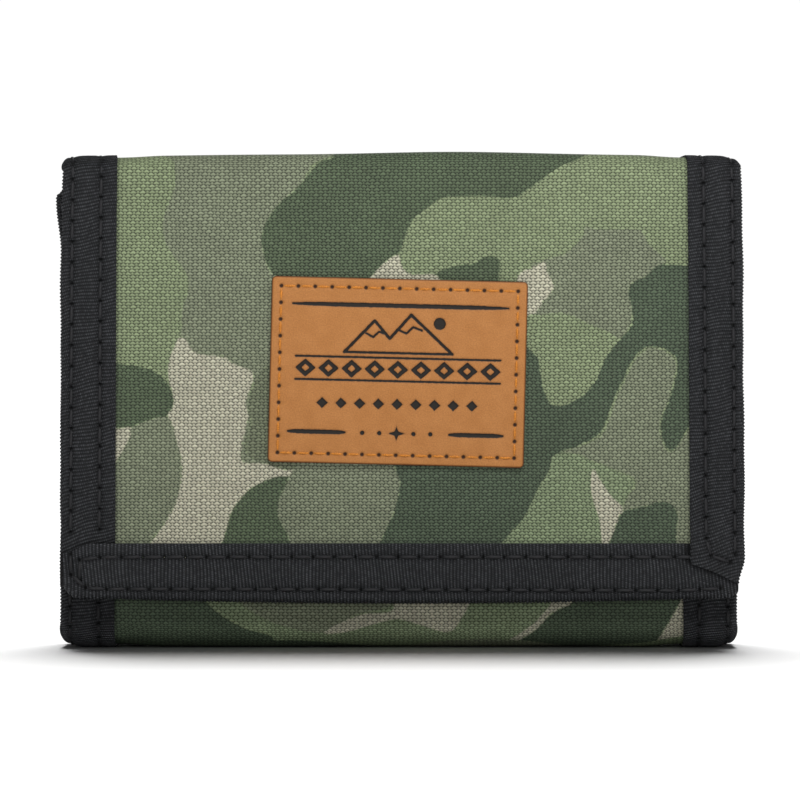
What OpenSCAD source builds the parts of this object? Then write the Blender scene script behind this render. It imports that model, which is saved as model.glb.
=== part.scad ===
// Trifold wallet, closed and standing on its bottom fold.
// X runs across the folds, the flap faces -Y, and +Z is up.
// The origin is at the middle of the base. Lengths are in millimetres.

/* [Overall] */
// Width along the fold lines
wallet_w = 124; // [116:1:134]
// Height from the bottom fold to the top fold
wallet_h = 90.5; // [88:0.5:96]
// Closed thickness, from the leather patch to the back
wallet_t = 20; // [20:0.5:24]

/* [Panels] */
// Thickness of a sewn panel: shell, stiffener and lining
panel_t = 2.5; // [2.5:0.1:2.8]
// Thickness of the outer woven shell
shell_t = 0.8; // [0.7:0.05:0.9]
// Thickness of the stiffener board inside a panel
board_t = 1.0; // [0.9:0.05:1.1]
// Height of the flap's free edge above the base
flap_lift = 9; // [6:0.5:12]
// Height of the front panel's free edge above the base
front_h = 84.5; // [80:0.5:86]
// Height of the stiff lower half of the front panel
stiff_h = 50; // [50:0.5:51]
// Radius of the free corners
corner_r = 2.5; // [1.5:0.5:3]

/* [Binding tape] */
// Width of the binding tape on the face
tape_w = 10; // [9:0.5:11]
// Thickness of one layer of tape
tape_wall = 0.5; // [0.4:0.05:0.5]

/* [Closure] */
// Width of the hook and loop patches
closure_w = 90; // [70:1:96]
// Height of the hook patch
hook_h = 20; // [16:1:20]
// Height of the loop patch
loop_h = 24; // [20:1:24]
// Thickness of either patch
closure_t = 1.1; // [1:0.05:1.1]
// Height of the hook patch's lower edge above the base
closure_z = 20; // [20:0.5:22]

/* [Identity window] */
// Width of the clear window pocket inside the flap
window_w = 98; // [88:1:100]
// Height of the clear window pocket
window_h = 38; // [30:1:38]
// Thickness of the clear film
film_t = 0.3; // [0.2:0.05:0.3]

/* [Leather patch] */
// Width of the leather patch
patch_w = 46.5; // [35:0.5:60]
// Height of the leather patch
patch_h = 33.8; // [25:0.2:40]
// Height of the patch's centre above the base
patch_z = 50.6; // [40:0.2:60]
// Sideways place of the patch's centre
patch_x = -0.6; // [-5:0.1:5]
// Clockwise lean of the patch, in degrees
patch_lean = 1.4; // [0:0.1:2]
// Distance from the patch's edge to its thread line
thread_inset = 1.7; // [1.2:0.1:2.5]

/* [Card slots] */
// Width of the card slots
slot_w = 100; // [90:1:102]
// Height of the lowest slot's mouth above the base
slot_z = 44; // [42:0.5:45]
// Step from one slot's mouth to the next
slot_step = 13; // [10:0.5:13]
// Thickness of one card slot's cloth
slot_t = 0.6; // [0.5:0.05:0.6]

/* [Coin pocket] */
// Width of the coin pocket
pocket_w = 100; // [96:1:102]
// Height of the zip's centre line above the base
zip_z = 40; // [39:0.5:40.5]
// Travel of the zip slider
zip_travel = 76; // [50:1:76]

/* [Hidden] */

// Gap left at each mitred fold line
fold_gap = 0.15;
// Half of the width, the clear half between the tapes, and the half inside the tape's web
half_w = wallet_w / 2;
mid_x = half_w - tape_w;
edge_x = half_w - tape_wall;
// Depths inside a panel, from its outer face: lining, and the seam line pinched by the tape
liner_d = shell_t + board_t;
seam_d = panel_t / 2;
pinch_d = panel_t - tape_wall;
// How far a cutting solid runs past what it cuts
over = 1;

// Thickness of the leather and of the thread that stands on it
leather_t = 0.95;
thread_t = 0.15;
thread_w = 0.5;

// Y of each panel's outer face
back_y = wallet_t / 2;
flap_y = -wallet_t / 2 + leather_t + thread_t;
closure_gap = 0.1;
front_y = flap_y + panel_t + 2 * closure_t + closure_gap;
front_inner_y = front_y + panel_t;

// A panel is [outer corner y, z, unit run y, z, unit inward y, z, length].
BOTTOM = [front_y, 0, 1, 0, 0, 1, back_y - front_y];
BACK = [back_y, 0, 0, 1, -1, 0, wallet_h];
TOP = [back_y, wallet_h, -1, 0, 0, -1, back_y - flap_y];
FLAP = [flap_y, wallet_h, 0, -1, 1, 0, wallet_h - flap_lift];
FRONT = [front_y, 0, 0, 1, 1, 0, front_h];

// Bill divider and card slots, as depths from the back panel's outer face
divider_t = 0.6;
divider_d = panel_t + 0.8;
divider_face = divider_d + divider_t;
divider_foot = 6;
divider_top = wallet_h - 6;
slot_foot = 10;
hem_h = 3;
hem_t = 0.3;
edge_wall = 0.4;

// Coin pocket layers, as depths from the front panel's outer face
gusset_t = 1.5;
gusset_w = 3;
zip_tape_t = 0.5;
cloth_t = 0.7;
lip_t = 0.6;
lip_h = 4;
pocket_foot = 8;
tape_d = panel_t + gusset_t;
coil_d = tape_d + zip_tape_t;
// Zip sections, across the zip's centre line
coil_in = 0.45;
coil_w = 1.3;
coil_t = 1.2;
tape_in = 0.8;
tape_out = 7;
coil_len = 92;
stop_len = 1.6;
stop_x = coil_len / 2 - 1;

// Slider: running gap, plates, flanges, post and the bridge that holds the pull
run_gap = 0.15;
slider_l = 8;
slider_w = 4.8;
slider_plate = 0.7;
flange_in = coil_in + coil_w + run_gap;
flange_w = 0.5;
post_w = 0.6;
bridge_l = 4.4;
bridge_w = 1.2;
bridge_rise = 0.95;
bridge_hole = 2.8;
bridge_gap = 0.5;
pull_t = 0.36;
pull_w = 3.8;
pull_l = 20;
pull_rail = 0.8;
pull_bar = 0.9;
pull_window = 3.2;

// The point at run u and depth d of a panel, as [y, z]
function spot(p, u, d) = [p[0] + p[2] * u + p[4] * d, p[1] + p[3] * u + p[5] * d];

// Where a layer at depth d starts or ends: at a mitred fold, or at the run that is given
function run_start(u, d) = is_undef(u) ? d + fold_gap : u;
function run_end(p, u, d) = is_undef(u) ? p[6] - d - fold_gap : u;

// A layer of a panel: x and d are [low, high], and u is [start, end] with undef for a mitre
module slab(p, x, d, u = [undef, undef]) {
    translate([x[0], 0, 0])
        rotate([90, 0, 90])
            linear_extrude(height = x[1] - x[0])
                polygon([
                    spot(p, run_start(u[0], d[0]), d[0]),
                    spot(p, run_end(p, u[1], d[0]), d[0]),
                    spot(p, run_end(p, u[1], d[1]), d[1]),
                    spot(p, run_start(u[0], d[1]), d[1])
                ]);
}

// What is cut from a free corner to round it, drawn at the +X end of the panel's run
module corner_cut(p, r, inset) {
    y_mid = p[0] + p[4] * panel_t / 2;
    z_end = p[1] + p[3] * (p[6] - inset);
    x_end = half_w - inset;
    translate([x_end - r, y_mid, z_end - p[3] * r])
        scale([1, 1, p[3]])
            rotate([90, 0, 0])
                linear_extrude(height = 4 * panel_t, center = true)
                    difference() {
                        square(r + over);
                        circle(r = r, $fn = 48);
                    }
}

// Rounds both free corners of what it holds
module free_corners(p, inset = 0) {
    difference() {
        children();
        corner_cut(p, corner_r - inset, inset);
        mirror([1, 0, 0]) corner_cut(p, corner_r - inset, inset);
    }
}

// A full sheet of a panel: flat between the tapes, and pinched where the tape holds it
module sheet(p, mid_d, edge_d, free = false) {
    mid_end = free ? p[6] - tape_w : undef;
    edge_end = free ? p[6] - tape_wall : undef;
    slab(p, [-mid_x, mid_x], mid_d, [undef, mid_end]);
    difference() {
        slab(p, [-edge_x, edge_x], edge_d, [undef, edge_end]);
        slab(p, [-mid_x, mid_x], [-over, panel_t + over], [-over, free ? mid_end : p[6] + over]);
    }
}

module shell(p) sheet(p, [0, shell_t], [tape_wall, seam_d]);
module lining(p) sheet(p, [liner_d, panel_t], [seam_d, pinch_d]);
module free_shell(p) free_corners(p, tape_wall) sheet(p, [0, shell_t], [tape_wall, seam_d], true);
module free_lining(p) {
    free_corners(p, tape_wall) sheet(p, [liner_d, panel_t], [seam_d, pinch_d], true);
}

// A strip of tape folded round the right-hand edge of a panel, depth deep in all
module side_tape(p, depth = panel_t, free = false) {
    end = free ? p[6] : undef;
    difference() {
        slab(p, [mid_x, half_w], [0, depth], [undef, end]);
        slab(p, [mid_x - over, edge_x], [tape_wall, depth - tape_wall],
            [-over, free ? p[6] - tape_wall : p[6] + over]);
    }
}

module right_tape(p) side_tape(p);
module left_tape(p) mirror([1, 0, 0]) side_tape(p);
module free_right_tape(p) free_corners(p) side_tape(p, panel_t, true);
module free_left_tape(p) mirror([1, 0, 0]) free_right_tape(p);

// A strip of tape folded round a panel's free edge, between the two side tapes
module end_tape(p) {
    difference() {
        slab(p, [-mid_x, mid_x], [0, panel_t], [p[6] - tape_w, p[6]]);
        slab(p, [-mid_x - over, mid_x + over], [tape_wall, pinch_d],
            [p[6] - tape_w - over, p[6] - tape_wall]);
    }
}

// Bottom fold
module bottom_fold_shell() color("darkolivegreen") shell(BOTTOM);
module bottom_fold_liner() color("dimgray") lining(BOTTOM);
module bottom_fold_tape_left() color("black") left_tape(BOTTOM);
module bottom_fold_tape_right() color("black") right_tape(BOTTOM);

// Back panel
module back_shell() color("darkolivegreen") shell(BACK);
module back_board() {
    color("gray") slab(BACK, [-mid_x, mid_x], [shell_t, liner_d], [4, wallet_h - 4]);
}
module back_liner() color("dimgray") lining(BACK);
module back_tape_left() {
    color("black") mirror([1, 0, 0]) side_tape(BACK, divider_face + tape_wall);
}
module back_tape_right() color("black") right_tape(BACK);

// Divider of the note compartment: sewn in at the left and the foot, open at the right
module bill_divider() {
    color("dimgray") {
        slab(BACK, [-mid_x, edge_x], [divider_d, divider_face], [divider_foot, divider_top]);
        slab(BACK, [-edge_x, -mid_x], [pinch_d, divider_face], [divider_foot, divider_top]);
        slab(BACK, [-mid_x, mid_x], [panel_t, divider_face], [divider_foot, divider_foot + 5]);
    }
}
module bill_edge_tape() {
    color("black")
        difference() {
            slab(BACK, [mid_x, half_w], [divider_d - edge_wall, divider_face + edge_wall],
                [divider_foot, divider_top]);
            slab(BACK, [mid_x - over, edge_x], [divider_d, divider_face],
                [divider_foot - over, divider_top + over]);
        }
}

// Card slots: tier 0 lies against the divider and has the highest mouth
function slot_mouth(tier) = slot_z + (2 - tier) * slot_step;
function slot_depth(tier) = divider_face + tier * slot_t;
module card_slot(tier) {
    color("darkslategray")
        slab(BACK, [-slot_w / 2, slot_w / 2], [slot_depth(tier), slot_depth(tier + 1)],
            [slot_foot, slot_mouth(tier)]);
}
module card_hem(tier) {
    color("black")
        slab(BACK, [-slot_w / 2, slot_w / 2],
            [slot_depth(tier + 1), slot_depth(tier + 1) + hem_t],
            [slot_mouth(tier) - hem_h, slot_mouth(tier)]);
}
module card_slot_upper() card_slot(0);
module card_slot_middle() card_slot(1);
module card_slot_lower() card_slot(2);
module card_hem_upper() card_hem(0);
module card_hem_middle() card_hem(1);
module card_hem_lower() card_hem(2);

// Top fold
module top_fold_shell() color("darkolivegreen") shell(TOP);
module top_fold_liner() color("dimgray") lining(TOP);
module top_fold_tape_left() color("black") left_tape(TOP);
module top_fold_tape_right() color("black") right_tape(TOP);

// Flap
module flap_shell() color("darkolivegreen") free_shell(FLAP);
module flap_board() {
    color("gray")
        slab(FLAP, [-mid_x, mid_x], [shell_t, liner_d], [4, FLAP[6] - tape_w]);
}
module flap_liner() color("dimgray") free_lining(FLAP);
module flap_tape_left() color("black") free_left_tape(FLAP);
module flap_tape_right() color("black") free_right_tape(FLAP);
module flap_tape_bottom() color("black") end_tape(FLAP);
module hook_patch() {
    color("black")
        slab(FLAP, [-closure_w / 2, closure_w / 2], [panel_t, panel_t + closure_t],
            [wallet_h - closure_z - hook_h, wallet_h - closure_z]);
}

// Clear pocket inside the flap, open towards the top fold
window_end = wallet_h - closure_z - hook_h - 3;
trim_w = 4;
trim_t = 0.8;
film_d = panel_t + 0.4;
module id_window() {
    color([0.8, 0.9, 0.95, 0.4])
        slab(FLAP, [-window_w / 2 + trim_w, window_w / 2 - trim_w], [film_d, film_d + film_t],
            [window_end - window_h, window_end - trim_w]);
}
module id_window_trim() {
    color("black") {
        for (side = [-1, 1])
            slab(FLAP, [side * (window_w - trim_w) / 2 - trim_w / 2,
                        side * (window_w - trim_w) / 2 + trim_w / 2],
                [panel_t, panel_t + trim_t], [window_end - window_h, window_end]);
        slab(FLAP, [-window_w / 2 + trim_w + 0.2, window_w / 2 - trim_w - 0.2],
            [panel_t, panel_t + trim_t], [window_end - trim_w, window_end]);
    }
}

// Leather patch, standing on the flap's outer face
module rounded_rectangle(w, h, r) {
    square([w - 2 * r, h], center = true);
    square([w, h - 2 * r], center = true);
    for (sx = [-1, 1], sz = [-1, 1])
        translate([sx * (w / 2 - r), sz * (h / 2 - r)]) circle(r = r, $fn = 32);
}
module on_flap(lift, t) {
    translate([patch_x, flap_y - lift, patch_z])
        rotate([0, patch_lean, 0])
            rotate([90, 0, 0])
                linear_extrude(height = t) children();
}
module leather_patch() {
    color("peru") on_flap(0, leather_t) rounded_rectangle(patch_w, patch_h, 1.2);
}
module patch_thread() {
    line_w = patch_w - 2 * thread_inset;
    line_h = patch_h - 2 * thread_inset;
    color("goldenrod")
        on_flap(leather_t, thread_t)
            difference() {
                rounded_rectangle(line_w + thread_w, line_h + thread_w, 1);
                rounded_rectangle(line_w - thread_w, line_h - thread_w, 0.5);
            }
}

// Front panel: cloth over its full height, stiff in its lower half only
module front_shell() color("darkolivegreen") free_shell(FRONT);
module front_board() {
    color("gray") slab(FRONT, [-mid_x, mid_x], [shell_t, liner_d], [4, stiff_h]);
}
module front_liner() color("dimgray") free_lining(FRONT);
module front_tape_left() color("black") free_left_tape(FRONT);
module front_tape_right() color("black") free_right_tape(FRONT);
module front_tape_top() color("black") end_tape(FRONT);
module loop_patch() {
    loop_z = closure_z - (loop_h - hook_h) / 2;
    color("black")
        slab(FRONT, [-closure_w / 2, closure_w / 2], [-closure_t, 0], [loop_z, loop_z + loop_h]);
}

// Coin pocket on the front panel's inner face
module pocket_layer(d, z) slab(FRONT, [-pocket_w / 2, pocket_w / 2], d, z);
module coin_pocket_panel() {
    color("darkslategray") {
        pocket_layer([tape_d, tape_d + cloth_t], [pocket_foot, zip_z - tape_out]);
        pocket_layer([coil_d, coil_d + lip_t], [zip_z - tape_out - 1, zip_z - tape_out + lip_h - 1]);
    }
}
module coin_pocket_upper() {
    color("darkslategray") {
        pocket_layer([tape_d, tape_d + cloth_t], [zip_z + tape_out, stiff_h]);
        pocket_layer([coil_d, coil_d + lip_t], [zip_z + tape_out - lip_h + 1, zip_z + tape_out + 1]);
    }
}
module coin_pocket_gusset() {
    bar_x = (pocket_w - gusset_w) / 2;
    inner_x = pocket_w / 2 - gusset_w - 0.2;
    color("dimgray") {
        for (side = [-1, 1])
            slab(FRONT, [side * bar_x - gusset_w / 2, side * bar_x + gusset_w / 2],
                [panel_t, tape_d], [pocket_foot, stiff_h]);
        for (z = [pocket_foot, stiff_h - gusset_w])
            slab(FRONT, [-inner_x, inner_x], [panel_t, tape_d], [z, z + gusset_w]);
    }
}

// Zip: two tapes, two coils with a slit between them, and the stops at the ends
module zip_tape_lower() {
    color("black") pocket_layer([tape_d, coil_d], [zip_z - tape_out, zip_z - tape_in]);
}
module zip_tape_upper() {
    color("black") pocket_layer([tape_d, coil_d], [zip_z + tape_in, zip_z + tape_out]);
}
module zip_coil(side) {
    centre = zip_z + side * (coil_in + coil_w / 2);
    color("darkgray")
        slab(FRONT, [-stop_x, stop_x], [coil_d, coil_d + coil_t],
            [centre - coil_w / 2, centre + coil_w / 2]);
}
module zip_coil_lower() zip_coil(-1);
module zip_coil_upper() zip_coil(1);
module zip_stops() {
    reach = coil_in + coil_w;
    color("silver")
        for (side = [-1, 1])
            slab(FRONT, [side * (stop_x + stop_len / 2) - stop_len / 2,
                         side * (stop_x + stop_len / 2) + stop_len / 2],
                [coil_d, coil_d + coil_t + 0.2], [zip_z - reach, zip_z + reach]);
}

// Slider parts are drawn round the zip's centre line, with y as the depth from the tape
module at_slider() {
    translate([zip_travel / 2, front_y + coil_d, zip_z]) children();
}
module bar(x, y, z) {
    translate([x[0], y[0], z[0]]) cube([x[1] - x[0], y[1] - y[0], z[1] - z[0]]);
}
module slider_plate(y) {
    nose = slider_l / 2 - 2;
    translate([0, y + slider_plate, 0])
        rotate([90, 0, 0])
            linear_extrude(height = slider_plate)
                polygon([
                    [-slider_l / 2, -slider_w / 2 + 0.6], [-nose, -slider_w / 2],
                    [slider_l / 2 - 1, -slider_w / 2], [slider_l / 2, -slider_w / 2 + 1],
                    [slider_l / 2, slider_w / 2 - 1], [slider_l / 2 - 1, slider_w / 2],
                    [-nose, slider_w / 2], [-slider_l / 2, slider_w / 2 - 0.6]
                ]);
}
module zip_slider() {
    top_y = coil_t + run_gap;
    bottom_y = -zip_tape_t - run_gap - slider_plate;
    crown_y = top_y + slider_plate;
    color("silver")
        at_slider() {
            slider_plate(top_y);
            slider_plate(bottom_y);
            bar([1.5, 3.2], [bottom_y, crown_y], [-post_w / 2, post_w / 2]);
            for (side = [-1, 1])
                bar([-3, 3], [run_gap, top_y + 0.1],
                    [side * (flange_in + flange_w / 2) - flange_w / 2,
                     side * (flange_in + flange_w / 2) + flange_w / 2]);
            difference() {
                bar([-bridge_l / 2, bridge_l / 2], [crown_y - 0.1, crown_y + bridge_rise],
                    [-bridge_w / 2, bridge_w / 2]);
                bar([-bridge_hole / 2, bridge_hole / 2], [crown_y, crown_y + bridge_gap],
                    [-bridge_w, bridge_w]);
            }
        }
}
module zip_pull() {
    low_y = coil_t + run_gap + slider_plate + 0.07;
    window_x = -pull_bar / 2 - pull_window;
    color("gray")
        at_slider()
            difference() {
                bar([pull_bar / 2 - pull_l, pull_bar / 2], [low_y, low_y + pull_t],
                    [-pull_w / 2, pull_w / 2]);
                bar([window_x, -pull_bar / 2], [low_y - over, low_y + pull_t + over],
                    [-pull_w / 2 + pull_rail, pull_w / 2 - pull_rail]);
            }
}

bottom_fold_shell();
bottom_fold_liner();
bottom_fold_tape_left();
bottom_fold_tape_right();
back_shell();
back_board();
back_liner();
back_tape_left();
back_tape_right();
bill_divider();
bill_edge_tape();
card_slot_upper();
card_slot_middle();
card_slot_lower();
card_hem_upper();
card_hem_middle();
card_hem_lower();
top_fold_shell();
top_fold_liner();
top_fold_tape_left();
top_fold_tape_right();
flap_shell();
flap_board();
flap_liner();
flap_tape_left();
flap_tape_right();
flap_tape_bottom();
hook_patch();
id_window();
id_window_trim();
leather_patch();
patch_thread();
front_shell();
front_board();
front_liner();
front_tape_left();
front_tape_right();
front_tape_top();
loop_patch();
coin_pocket_panel();
coin_pocket_upper();
coin_pocket_gusset();
zip_tape_lower();
zip_tape_upper();
zip_coil_lower();
zip_coil_upper();
zip_stops();
zip_slider();
zip_pull();
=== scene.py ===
import math
import bpy
import numpy as np
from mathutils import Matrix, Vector


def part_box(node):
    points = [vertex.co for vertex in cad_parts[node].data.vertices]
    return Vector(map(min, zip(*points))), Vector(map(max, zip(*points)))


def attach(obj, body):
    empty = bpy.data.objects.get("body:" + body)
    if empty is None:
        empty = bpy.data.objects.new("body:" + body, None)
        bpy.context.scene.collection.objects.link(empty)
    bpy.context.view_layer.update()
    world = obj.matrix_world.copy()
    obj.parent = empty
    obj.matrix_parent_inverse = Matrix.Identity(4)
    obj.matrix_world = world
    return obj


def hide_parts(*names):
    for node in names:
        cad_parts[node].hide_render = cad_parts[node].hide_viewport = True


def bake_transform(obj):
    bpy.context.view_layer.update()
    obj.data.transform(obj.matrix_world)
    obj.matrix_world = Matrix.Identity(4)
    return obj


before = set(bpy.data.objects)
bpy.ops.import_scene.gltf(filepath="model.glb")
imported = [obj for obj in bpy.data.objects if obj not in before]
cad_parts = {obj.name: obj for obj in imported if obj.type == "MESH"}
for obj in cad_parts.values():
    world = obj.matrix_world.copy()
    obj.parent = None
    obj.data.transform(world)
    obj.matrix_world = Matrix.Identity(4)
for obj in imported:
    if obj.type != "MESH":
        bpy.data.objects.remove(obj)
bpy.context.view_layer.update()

# Lengths are in millimetres until a mesh is made. x runs across the wallet. u runs along the cloth as if it
# were unrolled: from the flap's free edge up the flap, over the top, down the back, under the base and up
# the front panel. d is the depth below the outer face.
MM = 0.001


def span(node):
    """The lowest and highest corner of a CAD node, in millimetres."""
    low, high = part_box(node)
    return np.array(low) / MM, np.array(high) / MM


FLAP_Y = span("flap_tape_left")[0][1]
BACK_Y = span("back_tape_right")[1][1]
FRONT_Y = span("front_tape_left")[0][1]
TOP = span("top_fold_tape_left")[1][2]
FLAP_END = span("flap_tape_bottom")[0][2]
FRONT_END = span("front_tape_top")[1][2]
HALF = span("back_tape_right")[1][0]
TAPE_IN = span("flap_tape_right")[0][0]
PANEL = span("flap_tape_right")[1][1] - FLAP_Y
U_TOP = TOP
U_BACK = U_TOP + BACK_Y - FLAP_Y
U_BASE = U_BACK + TOP
U_FRONT = U_BASE + BACK_Y - FRONT_Y
U_END = U_FRONT + FRONT_END
TOP_MID = (U_TOP + U_BACK) / 2
BACK_MID = (U_BACK + U_BASE) / 2
BASE_MID = (U_BASE + U_FRONT) / 2

# Radii of the outer face: the top's front corner, both corners of the back, and under the front panel.
TOP_R = 2.4
FOLD_R = 3.5
FRONT_R = 4.5
# How far the section runs on past both free edges, and how far the flap's upper part leans back.
SPARE = 6.0
FLAP_LEAN = 1.6

# The tapes: wall, pitch and height of the ribs, stitch length, how much one tape lifts where it lies on
# another, width before folding, and the widths that show on the flap's and the front panel's free edges.
TAPE_WALL = 0.45
RIB = 0.62
RIB_HEIGHT = 0.06
STITCH = 3.8
OVERLAP = 0.5
EDGE_TAPE = 10.4
FRONT_TAPE = 10.0
# Brings up the tapes on both free edges. It is set for the flap's, which the lamps leave darker than the
# side tapes.
EDGE_TAPE_SHADE = 1.22

# The thread: how deep it lies, its radius and how high a stitch arches.
THREAD_DEPTH = 0.1
THREAD_R = 0.36
THREAD_RISE = 0.34

# Printed cloth and lining: half width with the tuck under the tapes, and the two thicknesses.
CLOTH_HALF = TAPE_IN + 0.8
CLOTH_THICK = 0.34
LINING_THICK = 0.25
HEM_STEPS = 30


def smooth(t):
    """0 to 1 with a soft start and end."""
    t = np.clip(t, 0, 1)
    return t * t * (3 - 2 * t)


def outline():
    """The outer face's section: unrolled length, y, z and the outward direction at each of its points."""
    corners = np.array([
        (FLAP_Y, FLAP_END - SPARE),
        (FLAP_Y, TOP),
        (BACK_Y, TOP),
        (BACK_Y, 0),
        (FRONT_Y, 0),
        (FRONT_Y, FRONT_END + SPARE),
    ])
    radii = (0, TOP_R, FOLD_R, FOLD_R, FRONT_R, 0)
    rows = []
    u = FLAP_END - SPARE
    for i in range(5):
        step = corners[i + 1] - corners[i]
        length = np.hypot(*step)
        along = step / length
        out = np.array((-along[1], along[0]))
        for s in (radii[i], length - radii[i + 1]):
            rows.append((u + s, *(corners[i] + along * s), *out))
        u += length
        r = radii[i + 1]
        if r == 0:
            continue
        turn = corners[i + 2] - corners[i + 1]
        turn = turn / np.hypot(*turn)
        centre = corners[i + 1] - r * along + r * turn
        for k in range(1, 16):
            a = k / 16 * math.pi / 2
            ray = along * math.sin(a) - turn * math.cos(a)
            rows.append((u - r + 2 * r * k / 16, *(centre + r * ray), *ray))
    return np.array(rows).T


OUTLINE = outline()


def width_at(u):
    """How much narrower or wider than nominal the wallet is at u, and how far it sits to one side."""
    at = (FLAP_END, U_TOP, U_TOP + 8, U_FRONT, U_END)
    half = (62.4, 61.9, 62.0, 62.2, 61.8)
    middle = (0.3, 0.2, -0.5, -0.38, -0.6)
    return np.interp(u, at, half) / HALF, np.interp(u, at, middle)


def place(x, u, d):
    """The point x across, u along and d below the outer face, with the soft sag of a real wallet."""
    x, u, d = np.broadcast_arrays(np.asarray(x, float), u, d)
    y, z, out_y, out_z = (np.interp(u, OUTLINE[0], row) for row in OUTLINE[1:])
    size = np.hypot(out_y, out_z)
    out_y, out_z = out_y / size, out_z / size
    on_top = smooth((u - U_TOP + 5) / 6) * smooth((U_BACK + 5 - u) / 6)
    on_base = smooth((u - U_BASE + 6) / 7) * smooth((U_FRONT + 6 - u) / 7)
    edge = np.clip((np.abs(x) - 57.5) / 4.5, 0, 1)
    lean = np.where(x > 0, 1.0, 0.6)
    crown = 0.35 * np.exp(-(((x - 12) / 24) ** 2))
    sink = d + on_top * (0.45 * (x / HALF) ** 2 - crown + 0.9 * lean * edge**2) + on_base * 1.1 * edge**2
    lean_back = FLAP_LEAN * np.clip((u - U_TOP + 36) / 36, 0, 1) ** 2 * smooth((U_TOP + 13 - u) / 13)
    scale, shift = width_at(u)
    corner = smooth((u - U_END + 12) / 10) * smooth((-50 - x) / 8)
    across = shift + x * scale - 0.9 * corner
    return np.stack([across, y - sink * out_y + lean_back, z - sink * out_z], -1)


def outward(u):
    """The outer face's outward direction at u."""
    y, z = (np.interp(u, OUTLINE[0], row) for row in OUTLINE[3:])
    size = np.hypot(y, z)
    return np.stack([y * 0, y / size, z / size], -1)


# ---------------------------------------------------------------- meshes


def quads(index):
    """Four-sided faces between the rows and columns of a grid of point numbers."""
    return np.stack([index[:-1, :-1], index[1:, :-1], index[1:, 1:], index[:-1, 1:]], -1).reshape(-1, 4)


def slab(outer, inner):
    """Points and faces of a closed sheet between two grids of points of the same shape."""
    n, m = outer.shape[:2]
    index = np.arange(n * m).reshape(n, m)
    ring = np.concatenate([index[0, :-1], index[:-1, -1], index[-1, :0:-1], index[:0:-1, 0]])
    after = np.roll(ring, -1)
    rim = np.stack([ring, after, after + n * m, ring + n * m], -1)
    points = np.concatenate([outer.reshape(-1, 3), inner.reshape(-1, 3)])
    return points, np.concatenate([quads(index), quads(index + n * m)[:, ::-1], rim])


def tubes(rings):
    """Points and faces of closed tubes, from an array of tubes, rings, points in a ring, 3."""
    count, n, m = rings.shape[:3]
    index = np.arange(n * m).reshape(n, m)
    wrapped = np.concatenate([index, index[:, :1]], 1)
    skin = quads(wrapped)
    half = m // 2
    ends = []
    for row in (index[0], index[-1][::-1]):
        for k in range(half - 1):
            ends.append((row[k], row[k + 1], row[m - 2 - k], row[m - 1 - k]))
    one = np.concatenate([skin, np.array(ends)])
    faces = (one[None] + np.arange(count)[:, None, None] * n * m).reshape(-1, 4)
    return rings.reshape(-1, 3), faces


def outside_out(points, faces):
    """The same faces, turned over if they enclose a negative volume."""
    a, b, c, e = (points[faces[:, k]] for k in range(4))
    volume = np.einsum("ij,ij->", a, np.cross(b, c)) + np.einsum("ij,ij->", a, np.cross(c, e))
    return faces if volume > 0 else faces[:, ::-1]


def add_mesh(name, shape, finish, nodes=(), fields=None):
    """A smooth mesh object in metres, with its material; the CAD nodes it stands for are hidden."""
    points, faces = shape
    faces = outside_out(points, faces)
    mesh = bpy.data.meshes.new(name)
    mesh.from_pydata((points * MM).tolist(), [], faces.tolist())
    mesh.shade_smooth()
    for key, values in (fields or {}).items():
        kind = "FLOAT_VECTOR" if values.ndim == 2 else "FLOAT"
        mesh.attributes.new(key, kind, "POINT").data.foreach_set(
            "vector" if values.ndim == 2 else "value", values.astype(np.float32).ravel()
        )
    obj = bpy.data.objects.new(name, mesh)
    bpy.context.scene.collection.objects.link(obj)
    mesh.materials.append(finish)
    if nodes:
        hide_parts(*nodes)
    return obj


def twice(values):
    """Values for both faces of a slab."""
    flat = values.reshape(-1, values.shape[-1]) if values.ndim == 3 else values.ravel()
    return np.concatenate([flat, flat])


def flat_field(x, u):
    """The unrolled position as a vector for the weave."""
    x, u = np.broadcast_arrays(x, u)
    return np.stack([x, u, x * 0], -1)


# The wallet's cloth, lining and side tapes are each cut in four, so that each piece crosses one fold.
PARTS = {
    "flap": ("flap", "top_fold", FLAP_END, TOP_MID, U_TOP, FOLD_R),
    "top": ("top_fold", "back_panel", TOP_MID, BACK_MID, U_BACK, FOLD_R),
    "back": ("back_panel", "bottom_fold", BACK_MID, BASE_MID, U_BASE, FOLD_R),
    "front": ("bottom_fold", "front_panel", BASE_MID, U_END, U_FRONT, FRONT_R),
}


def bend(obj):
    """Bakes a piece's placement into its mesh; it is tied to no body."""
    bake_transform(obj)


def cut_of(part):
    """Where a piece of cloth or lining starts and ends, tucked under the tapes of the two free edges."""
    _, _, low, high, _, _ = PARTS[part]
    return (low + 2.2 if part == "flap" else low), (high - 2.0 if part == "front" else high)


def steps(low, high, pitch):
    """Evenly spaced values from low to high, about pitch apart."""
    return np.linspace(low, high, max(2, int(round((high - low) / pitch)) + 1))


# ---------------------------------------------------------------- the printed cloth

REACH = 3.0

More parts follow.
